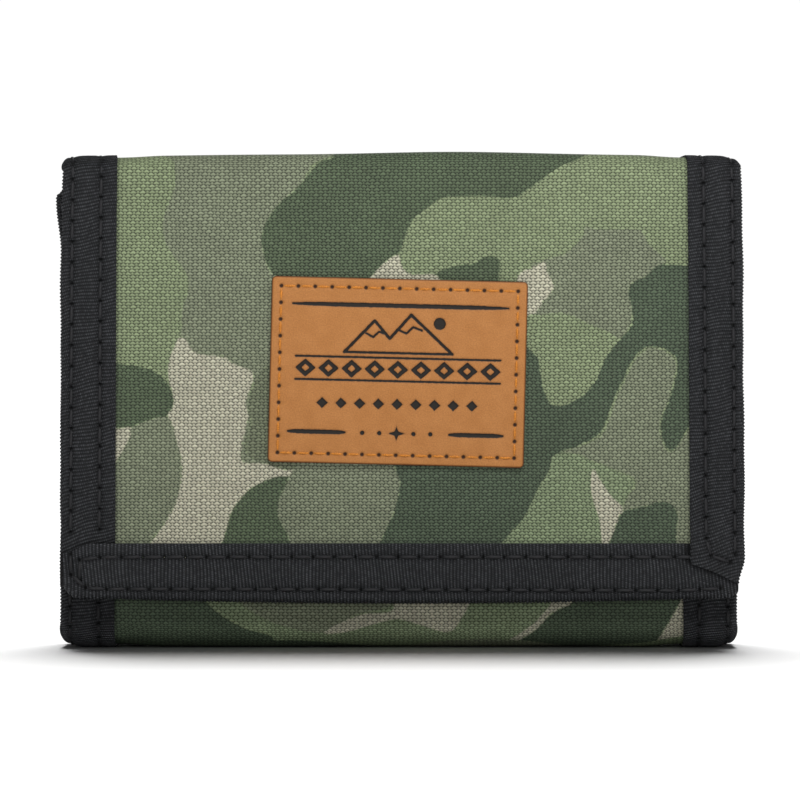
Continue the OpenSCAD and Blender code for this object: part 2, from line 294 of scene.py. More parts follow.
# The print's shapes, in the order they cover each other: a tone and points round the edge, x and height.
FLAP_PRINT = (
    ("grey", ((-42, 94.5), (-41.5, 89), (-41.5, 84), (-43.5, 78.5), (-43, 74), (-41, 71), (-39, 68),
              (-39, 65), (-40, 62), (-40, 58.5), (-40.5, 56), (-37.5, 54), (-32.5, 53.5), (-30.5, 52),
              (-27, 49.5), (-28.5, 45), (-28, 42.5), (-29.5, 36.5), (-27.5, 33.5), (-18.5, 34.5),
              (-18.5, 82), (-13, 91), (-12, 94.5))),
    ("tan", ((-40, 57), (-37.5, 54), (-32.5, 53.3), (-30.7, 52), (-27.8, 51), (-27, 49.5), (-28.5, 45),
             (-28, 42.5), (-29.3, 36.3), (-28, 34), (-19, 34), (-20.5, 31.6), (-25, 30.7), (-27.8, 29),
             (-30.4, 26), (-31.6, 23.4), (-32.5, 16), (-47.5, 16), (-45.3, 20), (-42.5, 24), (-40.7, 28.7),
             (-40.2, 34), (-41.1, 38.4), (-42.5, 42.6), (-41.6, 46), (-42.5, 50.2), (-41.8, 54.3))),
    ("moss", ((-26.5, 49), (-27.8, 45), (-27.5, 41), (-28.5, 36.5), (-26, 34.5), (-18.5, 34), (-18.5, 52),
              (-24, 52))),
    ("dark", ((-56, 52.5), (-51.5, 52), (-47.5, 51.5), (-44, 50), (-41.5, 46.2), (-42.5, 43), (-46.5, 41),
              (-51.5, 40.5), (-56, 40))),
    ("tan", ((-56, 40), (-51.5, 40.3), (-49, 40.3), (-49.8, 38.1), (-51.2, 34.9), (-52.5, 32), (-56, 31))),
    ("grey", ((-56, 28), (-52.5, 33), (-51, 36), (-49.5, 38.5), (-49, 40.5), (-45.5, 42), (-42.5, 42.3),
              (-41, 38.5), (-40, 34), (-40.5, 28.5), (-42.5, 24), (-45.5, 20), (-47.5, 15), (-56, 14))),
    ("dark", ((-34, 15), (-32.5, 20), (-31.5, 23.5), (-30.5, 26), (-28, 29), (-25, 30.8), (-22.5, 31.7),
              (-20, 31.5), (-17, 30), (-17, 15))),
    ("grey", ((-19, 34), (-20, 32.5), (-20.5, 31.5), (-21.5, 29.5), (-22.5, 27), (-22.5, 24), (-20.5, 20),
              (-19.5, 14), (-2, 14), (0, 25), (0.5, 30.5), (0.5, 36), (-18, 36))),
    ("dark", ((-12, 92.5), (-12.5, 90.5), (-15, 89), (-19, 84.3), (-23.3, 80.2), (-25.5, 75.6),
              (-25, 71.5), (-23.5, 68.4), (-18.5, 65.5), (-11, 65), (-6, 67.5), (-2.2, 71.3), (-0.4, 72.5),
              (0.4, 75), (2, 78.3), (5, 80.8), (8, 82.5), (16, 82.5), (19.6, 82.2), (22, 83.2),
              (25, 85.4), (28.5, 87.8), (33, 91), (35, 97), (18, 103), (-4, 100))),
    ("dark", ((5.5, 67.5), (8, 69.4), (10, 70), (13, 70.4), (15, 71.6), (17, 71.5), (17.7, 70.4),
              (17.5, 68), (16.5, 64), (6, 64))),
    ("tan", ((-7, 66), (-4.2, 69.5), (-2.2, 71.3), (-0.7, 71.8), (-0.2, 70), (1.3, 68.4), (6.4, 68),
             (6, 64), (-4, 64))),
    ("forest", ((58, 70), (52, 70), (46.5, 70), (44.4, 68), (41.6, 66.6), (41.2, 64.6), (41.7, 62),
                (41.6, 59), (38.7, 55.7), (36.7, 53), (35.3, 49.5), (33.2, 46.7), (29.7, 44.6),
                (27.6, 44.4), (26.2, 45.7), (25.2, 49), (24.7, 53), (24.5, 58), (20, 58), (16, 36),
                (-0.4, 35), (-0.4, 30.5), (-1.5, 25.2), (-4, 19.5), (-4.5, 14), (16, 14), (18.5, 19.9),
                (22, 24.1), (24.2, 28.7), (26.5, 32.5), (29.4, 35.9), (32.5, 37.5), (36, 39.7), (38.1, 45),
                (39.8, 48.8), (41.6, 52.6), (44, 55), (46.4, 55.2), (48.5, 54.3), (49.9, 52.6),
                (49.6, 49.5), (48.2, 45), (47.1, 42.5), (46.9, 39.7), (47.8, 37), (48.9, 36.3),
                (50.2, 37.7), (51.3, 39.7), (54, 43), (58, 46))),
    ("grey", ((26.2, 71.1), (29.4, 72), (31.8, 73.9), (33, 75.6), (33.4, 77), (36.4, 76.5), (42.9, 76.5),
              (44, 75.6), (44.7, 73.9), (46.7, 72.2), (48, 70.7), (46, 69.6), (44.2, 68), (41.6, 66.6),
              (41.2, 64.6), (41.7, 62), (41.2, 58.8), (39, 56.6), (36.7, 58.2), (34.5, 59), (31.8, 60.4),
              (28.7, 61.4), (24.5, 61), (22, 62), (22.5, 69))),
    ("light", ((22, 62), (24.5, 61), (28.7, 61.4), (31.8, 60.4), (34.5, 59), (36.7, 58.2), (38.9, 56.6),
               (38.2, 55), (36.7, 53), (35.3, 49.5), (33.2, 46.7), (29.7, 44.6), (27.6, 44.4),
               (26.2, 45.7), (25.4, 49), (24.7, 53), (22, 56))),
    ("tan", ((25.9, 70.6), (26.3, 68.7), (27.6, 66), (25.6, 63.5), (23.9, 61.3), (21, 61), (21, 68),
             (23.5, 69.4))),
    ("olive", ((14, 14), (18.5, 20), (22, 24), (24.2, 28.5), (26.5, 32.5), (27.6, 35.5), (31.8, 35.5),
               (34.2, 34.3), (38, 32.8), (41.6, 31), (41.8, 29.8), (40.5, 28), (39.5, 25.5), (38.5, 22),
               (36.5, 18), (35.5, 13))),
    ("grey", ((28.2, 36), (31.8, 35.7), (34.2, 34.6), (38, 33.1), (41.9, 31.3), (42.2, 29.8), (40.8, 28),
              (39.8, 25.5), (38.8, 22), (36.8, 18), (36, 13), (58, 13), (58, 45), (54, 42), (51.5, 39.5),
              (50.2, 37.4), (48.9, 36), (47.6, 36.6), (46.6, 39.7), (46.8, 42.5), (48, 45), (49.3, 49.5),
              (49.6, 52.4), (48.2, 54), (46.4, 54.8), (44.2, 54.6), (42, 52.4), (40.2, 48.6), (38.5, 45),
              (36.3, 39.4), (32.6, 37.2))),
    ("tan", ((34.5, 33.2), (36, 30.7), (38, 27.9), (39.8, 26), (39.5, 23.8), (38.4, 21), (37, 18),
             (36.2, 18), (35.6, 23.4), (34.5, 27), (34, 30))),
    ("forest", ((37, 17), (38.7, 23), (40, 25.2), (44.4, 26.3), (46.7, 27), (48.9, 26.3), (49.8, 24.5),
                (49.5, 22), (48.5, 15), (40, 13))),
)

# The narrow strip of the front panel that shows below the flap.
STRIP_PRINT = (
    ("forest", ((-56, 16), (-36.5, 14), (-35.5, 9), (-33, 6.5), (-30, 4.5), (-27.5, 3), (-23.5, 1.3),
                (-20, -4), (-56, -8))),
    ("olive", ((-35, 13), (-35, 8.8), (-32.7, 6.5), (-29.7, 4.6), (-27.2, 3), (-23.2, 1.3), (-19, -5),
               (20, -5), (20, 0), (23, 2.5), (26.5, 6.5), (28, 9), (28, 14))),
    ("grey", ((-30, 14), (-29, 8.5), (-24, 5), (-17, 2.5), (-13, 2.5), (-8, 6), (-1, 8), (-1, 14))),
    ("tan", ((-13.8, 2), (-10, 2.2), (-4.5, 4.3), (0, 5.2), (4, 4), (9, 2.3), (11.5, 5.5), (13, 8.5),
             (13.5, 14), (-1, 14), (-1, 7.2), (-6.5, 6.3), (-11, 4.4))),
    ("tan", ((28, 14), (28, 9), (25.5, 5.5), (22, 2), (18.5, -2), (22.5, -2), (25, 3), (28, 6.5),
             (32.5, 9), (33, 14))),
    ("forest", ((33, 14), (32.3, 9), (28, 6.3), (25, 3), (22.5, -3), (47, -6), (47.8, 1), (49.5, 5),
                (51.7, 9.2), (52, 14))),
    ("tan", ((52, 14), (51.7, 9.2), (49.5, 5), (47.8, 1), (47, -4), (58, -4), (58, 14))),
)

# Shapes that bridge the places where the print repeats, x and unrolled length.
BRIDGE_PRINT = (
    ("olive", ((-56, 98), (-44, 99), (-33, 103), (-30, 109), (-38, 113), (-47, 110), (-56, 112))),
    ("dark", ((-36, 99), (-24, 96.5), (-12, 95), (2, 98), (16, 99), (24, 96), (30, 98), (28, 104),
              (18, 109), (4, 108), (-6, 111), (-16, 114), (-27, 111), (-35, 106))),
    ("tan", ((14, 101), (26, 99), (36, 101), (41, 106), (37, 111), (27, 109), (19, 107))),
    ("grey", ((37, 96), (46, 95), (57, 97), (57, 112), (46, 113), (39, 108))),
    ("light", ((-57, 178), (-46, 180), (-38, 177), (-31, 183), (-34, 191), (-45, 194), (-57, 192))),
    ("olive", ((-34, 181), (-22, 176), (-9, 179), (1, 184), (-3, 192), (-17, 195), (-30, 190))),
    ("dark", ((-5, 183), (6, 178), (18, 180), (27, 178), (36, 183), (33, 191), (20, 189), (9, 194),
              (-2, 191))),
    ("tan", ((31, 178), (40, 182), (48, 179), (57, 182), (57, 190), (46, 188), (37, 192), (30, 187))),
    ("forest", ((-57, 196), (-42, 192), (-27, 197), (-12, 195), (0, 202), (-6, 211), (-22, 214),
                (-40, 210), (-57, 216))),
    ("grey", ((-3, 198), (12, 195), (27, 199), (34, 206), (26, 213), (9, 214), (-2, 208))),
    ("olive", ((30, 196), (44, 193), (57, 196), (57, 214), (45, 213), (34, 209))),
)

# Shapes in the middle of the print, which the leather patch hides on the flap.
MIDDLE_PRINT = (
    ("grey", ((-24, 60), (-15, 65), (-6, 61), (-3, 52), (-8, 42), (-15, 34), (-24, 33), (-25, 46))),
    ("forest", ((-22, 69), (-14, 67), (-6, 57), (2, 50), (10, 49), (18, 56), (25, 57), (25, 46), (21, 35),
              (10, 33), (1, 33), (-4, 39), (-9, 50), (-16, 58), (-22, 62))),
    ("tan", ((-3, 65), (3, 67), (10, 65), (17, 60), (12, 55), (5, 56), (-1, 59))),
    ("olive", ((-20, 52), (-14, 55), (-10, 48), (-12, 40), (-18, 38), (-22, 44))),
)
REPEAT_TURN = U_BASE - 1.0
REPEAT_SHIFT = 3.0
FRONT_SHIFT = 17.0
STRIP_TOP = 11.5


def closed_curve(points, parts=5):
    """Points on a smooth closed curve through the given ones."""
    p = np.array(points, float)
    before, after, beyond = np.roll(p, 1, 0), np.roll(p, -1, 0), np.roll(p, -2, 0)
    t = (np.arange(parts) / parts)[None, :, None]
    p0, p1, p2, p3 = before[:, None], p[:, None], after[:, None], beyond[:, None]
    curve = 0.5 * (2 * p1 + (p2 - p0) * t + (2 * p0 - 5 * p1 + 4 * p2 - p3) * t**2
                   + (3 * p1 - p0 - 3 * p2 + p3) * t**3)
    return curve.reshape(-1, 2)


def signed_distance(x, y, curve):
    """Distance to a closed curve, below 0 inside it and never further from 0 than REACH."""
    result = np.full(x.shape, REACH)
    low, high = curve.min(0) - REACH, curve.max(0) + REACH
    near = np.nonzero((x > low[0]) & (x < high[0]) & (y > low[1]) & (y < high[1]))
    if not near[0].size:
        return result
    px, py = x[near], y[near]
    best = np.full(px.shape, REACH**2)
    inside = np.zeros(px.shape, bool)
    for a, b in zip(curve, np.roll(curve, -1, 0)):
        e = b - a
        t = np.clip(((px - a[0]) * e[0] + (py - a[1]) * e[1]) / max(e @ e, 1e-9), 0, 1)
        best = np.minimum(best, (px - a[0] - t * e[0]) ** 2 + (py - a[1] - t * e[1]) ** 2)
        crosses = (a[1] > py) != (b[1] > py)
        if e[1] != 0:
            inside ^= crosses & (px < a[0] + (py - a[1]) * e[0] / e[1])
    result[near] = np.sqrt(best) * np.where(inside, -1, 1)
    return result


TONES = ("light", "grey", "dark", "forest", "tan", "olive", "moss")


def paint(fields, x, y, shapes, here):
    """Lays each shape over the tones below it, where here is true."""
    for tone, points in shapes:
        f = np.where(here, signed_distance(np.where(here, x, 1e3), y, closed_curve(points)), REACH)
        for key in fields:
            if key == tone:
                fields[key] = np.minimum(fields[key], f)
            else:
                fields[key] = np.maximum(fields[key], -f)


def camouflage(x, u):
    """Signed distance to each tone of the print at each point of the unrolled cloth."""
    x, u = (np.ascontiguousarray(a, float) for a in np.broadcast_arrays(x, u))
    fields = {tone: np.full(x.shape, REACH) for tone in TONES}
    fields["light"][:] = -REACH
    z = u - U_FRONT
    on_flap = u < TOP_MID + 2
    on_back = (u >= TOP_MID + 2) & (u < BASE_MID)
    on_strip = (u >= BASE_MID) & (z < STRIP_TOP)
    on_front = z >= STRIP_TOP
    paint(fields, x, u, FLAP_PRINT, on_flap)
    paint(fields, -x - REPEAT_SHIFT, REPEAT_TURN - u, FLAP_PRINT + MIDDLE_PRINT, on_back)
    paint(fields, x, z, STRIP_PRINT, on_strip)
    paint(fields, x + FRONT_SHIFT, z, FLAP_PRINT + MIDDLE_PRINT, on_front)
    paint(fields, x, u, BRIDGE_PRINT, u > TOP)
    return fields


def cloth_depth(x, u):
    """How far the printed cloth lies below the tapes' face: pressed down at their edges, full between."""
    side = smooth((np.abs(x) - 43) / 8.5)
    low = smooth((26 - u) / 6.5)
    high = smooth((u - U_END + 17) / 6)
    press = np.maximum(side, np.maximum(low, high))
    soft = np.sin(x / 13 + 0.7) * np.sin(u / 11 + 1.9) + 0.6 * np.sin(x / 6.1 + u / 9.7)
    pucker = 0.05 * np.sin(u / 0.95 + np.sin(u / 7)) * smooth((np.abs(x) - 47) / 5)
    return 0.08 + 0.36 * press + 0.07 * soft * (1 - press) + pucker


def edge_shade(x, u):
    """Painted shade where the cloth meets a tape's edge, with base_shade's painted light near the base."""
    along = np.minimum(np.abs(u - FLAP_END - EDGE_TAPE), np.abs(U_END - FRONT_TAPE - u))
    gap = np.minimum(TAPE_IN - np.abs(x), along)
    return (1 - 0.4 * np.exp(-np.clip(gap, 0, None) / 0.45)) * base_shade(u, 0.1)


def base_shade(u, gain):
    """Brings up the front's tone near its fold at the base, which the lamps leave too dark."""
    return 1 + gain * smooth((U_FRONT + 15 - u) / 6) * smooth((u - U_FRONT + 3) / 3)


def cloth_piece(part, finish, nodes):
    """One of the four pieces of printed cloth."""
    low, high = cut_of(part)
    u = steps(low, high, 0.5)[:, None]
    x = steps(-CLOTH_HALF, CLOTH_HALF, 0.5)[None, :]
    d = cloth_depth(x, u)
    tones = camouflage(x, u)
    fields = {"weave": twice(flat_field(x, u)), "shade": twice(edge_shade(x, u))}
    for tone in TONES[1:]:
        fields["tone_" + tone] = twice(tones[tone])
    obj = add_mesh("cloth_" + part, slab(place(x, u, d), place(x, u, d + CLOTH_THICK)), finish,
                   nodes, fields)
    bend(obj)


# ---------------------------------------------------------------- seams


def resample(path, pitch):
    """Points evenly spaced along a polyline, near to pitch apart."""
    path = np.array(path, float)
    along = np.concatenate([[0], np.cumsum(np.hypot(*np.diff(path, axis=0).T))])
    at = steps(0, along[-1], pitch)
    return np.stack([np.interp(at, along, path[:, 0]), np.interp(at, along, path[:, 1])], -1)


OUT_ROW = HALF - 1.9
IN_ROW = TAPE_IN + 2.9
LOW_ROW = FLAP_END + 1.8
HIGH_ROW = FLAP_END + 7.9

SIDE_SEAMS = {
    "left": (
        resample(((-OUT_ROW, 21.5), (-OUT_ROW, U_END - 9)), STITCH),
        resample(((-IN_ROW, 22.0), (-IN_ROW, U_END - 12)), STITCH),
    ),
    "right": (
        resample(((OUT_ROW, 17.5), (OUT_ROW, U_END - 9)), STITCH),
        resample(((IN_ROW + 4.4, 16.0), (IN_ROW, 17.4), (IN_ROW, U_END - 12)), STITCH),
    ),
}
FLAP_SEAMS = (
    resample(((57.5, LOW_ROW + 0.4), (50, LOW_ROW), (-56.5, LOW_ROW + 0.3), (-59.0, LOW_ROW + 1.1),
              (-OUT_ROW, LOW_ROW + 3.2), (-OUT_ROW, 17.5)), STITCH),
    resample(((-58.4, LOW_ROW + 1.8), (-58.4, 16.5), (-57.6, HIGH_ROW), (53.0, HIGH_ROW)), STITCH),
)
FRONT_SEAMS = (
    resample(((-58.5, U_END - 2.2), (58.5, U_END - 2.2)), STITCH),
    resample(((-58.5, U_END - 8.0), (58.5, U_END - 8.0)), STITCH),
)


def dimples(x, u, seams):
    """How far the thread pulls the tape down: a shallow groove along each row and a hole at each stitch."""
    depth = np.zeros(np.broadcast(x, u).shape)
    for holes in seams:
        for k, (hx, hu) in enumerate(holes):
            near = (x - hx) ** 2 + (u - hu) ** 2
            depth = np.maximum(depth, 0.42 * np.exp(-near / 0.22))
            if k + 1 < len(holes):
                ex, eu = holes[k + 1] - holes[k]
                t = np.clip(((x - hx) * ex + (u - hu) * eu) / (ex * ex + eu * eu), 0, 1)
                off = (x - hx - t * ex) ** 2 + (u - hu - t * eu) ** 2
                depth = np.maximum(depth, 0.16 * np.exp(-off / 0.45))
    return depth


def seam_shade(x, u, seams):
    """Painted shade beside a seam: the tape is nearly black in its holes and dull in its groove."""
    pulled = dimples(x, u, seams)
    return 1 - 0.45 * np.clip(pulled / 0.16, 0, 1) - 0.5 * smooth((pulled - 0.18) / 0.2)


def thread_tubes(a, b, side, up, radius, rise, gap=0.09):
    """Short arched lengths of thread from each point of a to the same one of b."""
    t = np.linspace(gap, 1 - gap, 8)
    arch = np.sin(np.pi * np.linspace(0.02, 0.98, 8)) ** 0.6
    middle = a[:, None] + (b - a)[:, None] * t[None, :, None]
    middle = middle + up[:, None] * (rise * arch - radius * 0.9)[None, :, None]
    turn = np.arange(6) / 6 * 2 * np.pi
    thick = radius * (0.5 + 0.5 * arch)
    ring = (side[:, None, None] * np.cos(turn)[None, None, :, None]
            + up[:, None, None] * np.sin(turn)[None, None, :, None] * 0.8)
    return middle[:, :, None] + ring * thick[None, :, None, None]


def level(x, u):
    """Nothing raises the tape here."""
    return 0 * x


def seam_threads(seams, low, high, over_at):
    """Stitches of each seam between two unrolled lengths, on the outer face and the inner one."""
    groups = []
    for holes in seams:
        a, b = holes[:-1], holes[1:]
        middle = (a[:, 1] + b[:, 1]) / 2
        keep = (middle >= low) & (middle < high)
        if not keep.any():
            continue
        a, b = a[keep], b[keep]
        for face in (1, -1):
            below = THREAD_DEPTH if face > 0 else PANEL - THREAD_DEPTH
            start, end = (place(*row.T, below - face * over_at(*row.T)) for row in (a, b))
            up = outward((a[:, 1] + b[:, 1]) / 2) * face
            side = np.cross(end - start, up)
            side /= np.linalg.norm(side, axis=1, keepdims=True)
            groups.append(thread_tubes(start, end, side, up, THREAD_R, THREAD_RISE))
    return tubes(np.concatenate(groups))


# ---------------------------------------------------------------- binding tapes


def ribs(along):
    """The tape's ribs, which run across it."""
    return RIB_HEIGHT * np.cos(2 * np.pi * along / RIB)


def leaning(along, x):
    """Length along a side tape with the lean of its ribs, which fan out towards the flap's lower corners."""
    fan = 0.17 + 0.12 * smooth((42 - along) / 24)
    wobble = 0.16 * np.sin(x / 2.3 + along / 5.1) + 0.1 * np.sin(x / 1.1 - along / 3.7)
    return along - fan * (x - np.sign(x) * TAPE_IN) + wobble


def hem_section(reach, wall):
    """Distance in from the free edge, depth and a 0 to 1 roundness, along a tape folded over an edge."""
    radius = PANEL / 2
    flat = np.linspace(reach, radius, HEM_STEPS)
    turn = np.linspace(0, math.pi, 13)[1:-1]
    r = radius - wall
    inward = np.concatenate([flat, radius - r * np.sin(turn), flat[::-1]])
    depth = np.concatenate([flat * 0 + wall, radius - r * np.cos(turn), flat * 0 + PANEL - wall])
    round_it = np.concatenate([flat * 0, np.sin(turn), flat * 0])
    return inward, depth, round_it


def side_tape(side, part, finish, nodes):
    """One of the four pieces of tape down one side, folded over the edge of the wallet."""
    _, _, low, high, _, _ = PARTS[part]
    sign = 1 if side == "right" else -1
    low = low + (3.4 if side == "right" else 2.6) if part == "flap" else low
    high = high - 0.4 if part == "front" else high
    u = steps(low, high, RIB / 5)[:, None]
    raised = (side == "right") * (part == "flap")
    over = raised * OVERLAP * smooth((22.5 - u) / 4)
    faces = []
    for wall in (0.0, TAPE_WALL):
        inward, depth, round_it = hem_section(HALF - TAPE_IN, wall)
        x = HALF - inward[None, :]
        way = np.sign(depth - PANEL / 2)[None, :]
        along = u + 0 * x
        if raised:
            along = u + (right_tape_end(x) - low) * smooth((low + 16 - u) / 16)
        d = depth[None, :] + over * way
        if wall == 0.0:
            phase = leaning(along, sign * x)
            # Painted shade in the seams' holes and grooves and under the flap's bottom tape, and painted
            # light near the base.
            shade = seam_shade(sign * x, along, SIDE_SEAMS[side]) * end_shade(sign * x, along, part, side)
            shade = shade * base_shade(along, 0.25)
            lift = ribs(phase)
            wave = 0.07 * np.sin(along / 5.3 + sign) + 0.05 * np.sin(along / 2.1)
            pulled = dimples(sign * x, along, SIDE_SEAMS[side])
            d = d + way * (lift - pulled) * (1 - round_it)
            x = x + round_it * (lift * 1.8 + wave)
            weave = flat_field(phase, x)
        if raised:
            x = x - 1.1 * smooth((17 - along) / 5) * smooth((x - 56) / 5)
        if part == "front":
            x = x - 1.2 * smooth((along - high + 1.8) / 1.8) ** 2 * smooth((x - 56) / 5)
        faces.append(place(sign * x, along, d))
    obj = add_mesh(f"tape_{side}_{part}", slab(*faces), finish, nodes,
                   {"weave": twice(weave), "shade": twice(shade)})
    bend(obj)


def right_tape_end(x):
    """The slanted lower end of the flap's right tape."""
    return 15.6 - (x - 52.4) * 0.37


def end_shade(x, u, part, side):
    """Painted shadow: the left tape darkens under the flap's bottom tape, which lies on it."""
    if part != "flap" or side == "right":
        return 1 + 0 * x * u
    return 1 - 0.6 * np.exp(-np.clip(u - flap_tape_top(x), 0, None) / 0.5)


def edge_shape(x):
    """How much the flap's free edge lifts towards its rounded corners."""
    corner = np.clip(np.abs(x) - 58.4, 0, 2.9)
    return 1.1 * (x / 61) ** 2 - 0.6 + 3.2 - np.sqrt(3.2**2 - corner**2)


def free_edge_tape(name, body, ends, at, direction, lift, top_edge, over_at, seams, finish, nodes):
    """The tape folded over a panel's free edge. lift shapes the edge and top_edge the tape's inner edge."""
    x = steps(ends[0], ends[1], RIB / 5)[:, None]
    faces = []
    for wall in (0.0, TAPE_WALL):
        inward, depth, round_it = hem_section(1.0, wall)
        radius = PANEL / 2
        base = np.where(round_it > 0, inward, radius)[None, :]
        reach = direction * (top_edge(x) - at) - lift(x)
        n = len(inward)
        share = np.zeros(n)
        share[:HEM_STEPS] = np.linspace(1, 0, HEM_STEPS)
        share[-HEM_STEPS:] = np.linspace(0, 1, HEM_STEPS)
        inner = np.where(round_it[None, :] > 0, base, radius + share[None, :] * (reach - radius))
        u = at + direction * (inner + lift(x))
        over = over_at(x)
        way = np.sign(depth - PANEL / 2)[None, :]
        d = depth[None, :] + over * way
        if wall == 0.0:
            phase = x + 0.05 * (u - at) + 0.4 * np.sin(x / 17) + 0.16 * np.sin(u / 2.1 + x / 4.3)
            bump = ribs(phase)
            pulled = dimples(x, u, seams)
            # Painted shade in the seams' holes and grooves, brought up by EDGE_TAPE_SHADE's painted light.
            shade = EDGE_TAPE_SHADE * seam_shade(x, u, seams)
            if body == "flap":
                # Painted shadow along the slanted lower end of the flap's right tape, which lies on this
                # tape.
                gap = np.clip(right_tape_end(x) - u, 0, None)
                shade = shade * (1 - 0.75 * np.exp(-gap / 0.5) * smooth((x - 50) / 2))
            d = d + way * (bump - pulled) * (1 - round_it)
            u = u - direction * round_it * bump * 1.6
            weave = flat_field(phase, u)
        faces.append(place(x, u, d))
    obj = add_mesh(name, slab(*faces), finish, nodes,
                   {"weave": twice(weave), "shade": twice(shade)})
    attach(obj, body)


def flap_tape_top(x):
    """The upper edge of the flap's bottom tape, which slopes down at its left end."""
    return FLAP_END + EDGE_TAPE - 1.7 * smooth((-56.2 - x) / 5)


def flap_tape_over(x, u=0):
    """The bottom tape lies on the left tape and under the right one."""
    return OVERLAP * smooth((-49.5 - x) / 3)


def right_tape_over(x, u):
    """The right tape's lower end lies on the bottom tape."""
    return OVERLAP * smooth((22.5 - u) / 4)


def front_tape_edge(x):
    """The inner edge of the front panel's top tape."""
    return U_END - FRONT_TAPE + 0 * x


def front_tape_over(x, u=0):
    """The front panel's top tape lies on both side tapes."""
    return OVERLAP * smooth((np.abs(x) - 50.6) / 1.6)


# ---------------------------------------------------------------- the leather patch

PATCH_WIDE = 46.5
PATCH_TALL = 33.8
PATCH_LEAN = math.radians(1.4)
PATCH_ROUND = 0.8
PATCH_SEAM = 1.75
PATCH_STITCH = 3.15
PATCH_LOW, PATCH_HIGH = span("leather_patch")


def on_patch(a, b, y):
    """The point a across and b up from the middle of the leaning patch."""
    middle = (PATCH_LOW + PATCH_HIGH) / 2
    x = middle[0] + a * math.cos(PATCH_LEAN) + b * math.sin(PATCH_LEAN)
    z = middle[2] - a * math.sin(PATCH_LEAN) + b * math.cos(PATCH_LEAN)
    return np.stack(np.broadcast_arrays(x, y, z), -1)


def line_at(a, b, points, wide):
    """Distance to a line of the given width through points."""
    best = np.full(a.shape, REACH)
    for (ax, ay), (bx, by) in zip(points, points[1:]):
        ex, ey = bx - ax, by - ay
        t = np.clip(((a - ax) * ex + (b - ay) * ey) / (ex * ex + ey * ey), 0, 1)
        best = np.minimum(best, np.hypot(a - ax - t * ex, b - ay - t * ey))
    return best - wide / 2


def lozenge_at(a, b, x, y, wide, tall):
    """Distance to a lozenge with the given half width and half height."""
    reach = np.abs(a - x) / wide + np.abs(b - y) / tall - 1
    return reach * wide * tall / math.hypot(wide, tall)


def rule_at(a, b, left, right, height, wide):
    """Distance to a level rule, which thins towards its ends."""
    t = (2 * a - left - right) / (right - left)
    return np.maximum(np.abs(b - height) - wide / 2 * (1 - 0.6 * t**6), (np.abs(t) - 1) * (right - left) / 2)


def patch_art(a, b):
    """Distance to the burnt decoration: rules, two peaks with a sun, and rows of lozenges."""
    art = [
        rule_at(a, b, -19.5, 20.0, 12.0, 0.8),
        rule_at(a, b, -19.9, -9.2, -11.2, 0.8),
        rule_at(a, b, 9.4, 19.5, -11.2, 0.8),
        line_at(a, b, ((-9.8, 3.4), (-4.4, 9.2), (-1.6, 6.0), (2.2, 10.4), (9.8, 3.4)), 0.55),
        line_at(a, b, ((-9.8, 3.4), (9.8, 3.4)), 0.45),
        line_at(a, b, ((-5.9, 6.9), (-4.6, 6.2), (-3.6, 7.2), (-2.6, 6.9)), 0.4),
        line_at(a, b, ((0.0, 7.6), (1.4, 7.0), (2.6, 8.2), (4.2, 7.6)), 0.4),
        np.hypot(a - 7.4, b - 8.9) - 1.1,
        line_at(a, b, ((-18.6, 2.5), (18.6, 2.5)), 0.4),
        line_at(a, b, ((-18.6, -1.7), (18.6, -1.7)), 0.4),
    ]
    for k in range(-4, 5):
        outer = lozenge_at(a, b, 4.2 * k, 0.4, 1.9, 1.65)
        art.append(np.maximum(outer, -lozenge_at(a, b, 4.2 * k, 0.4, 0.75, 0.65)))
        art.append(lozenge_at(a, b, 3.4 * k, -5.9, 1.05, 1.0))
    for k in (-2, -1, 1, 2):
        art.append(np.hypot(a - 3.1 * k, b + 11.2) - 0.4)
    star = np.minimum(lozenge_at(a, b, 0, -11.2, 1.6, 0.5), lozenge_at(a, b, 0, -11.2, 0.5, 1.3))
    art.append(star)
    return np.minimum.reduce(art)


def patch_seam():
    """The ends of each stitch round the patch, across and up."""
    wide, tall = PATCH_WIDE / 2 - PATCH_SEAM, PATCH_TALL / 2 - PATCH_SEAM
    ring = ((-wide, -tall), (wide, -tall), (wide, tall), (-wide, tall), (-wide, -tall))
    runs = [resample(pair, PATCH_STITCH) for pair in zip(ring, ring[1:])]
    starts = np.concatenate([run[:-1] for run in runs])
    ends = np.concatenate([run[1:] for run in runs])
    return starts, ends


def leather_patch(finish):
    """The patch: rounded corners and edges, pressed-in decoration, and a dimple at each stitch hole."""
    wide, tall = PATCH_WIDE / 2, PATCH_TALL / 2
    a, b = np.meshgrid(steps(-wide, wide, 0.2), steps(-tall, tall, 0.2), indexing="ij")
    qa = np.clip(np.abs(a) - wide + PATCH_ROUND, 0, None)
    qb = np.clip(np.abs(b) - tall + PATCH_ROUND, 0, None)
    pull = np.maximum(qa, qb) / np.maximum(np.hypot(qa, qb), 1e-6)
    pull = np.where((qa > 0) & (qb > 0), pull, 1)
    a = a - np.sign(a) * qa * (1 - pull)
    b = b - np.sign(b) * qb * (1 - pull)
    art = patch_art(a, b)
    rim = np.minimum(wide - np.abs(a), tall - np.abs(b))
    rim = np.where((qa > 0) & (qb > 0), PATCH_ROUND - np.hypot(qa, qb) * pull, rim)
    face = PATCH_LOW[1] + 0.22 * (1 - smooth(rim / 0.4)) ** 2 + 0.16 * smooth(0.5 - art / 0.2)
    face = face + 0.03 * np.sin(a / 3.1 + 1) * np.sin(b / 2.7)
    starts, _ = patch_seam()
    hole = np.full(a.shape, REACH)
    for hole_a, hole_b in starts:
        hole = np.minimum(hole, np.hypot(a - hole_a, b - hole_b))
    face = face + 0.4 * np.exp(-(hole**2) / 0.16)
    fields = {"burn": twice(art), "rim": twice(rim), "hole": twice(hole), "grain": twice(flat_field(a, b))}
    back = on_patch(a, b, PATCH_HIGH[1] + 0.0 * a)
    obj = add_mesh("leather_patch", slab(on_patch(a, b, face), back), finish,
                   ("leather_patch",), fields)
    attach(obj, "flap")


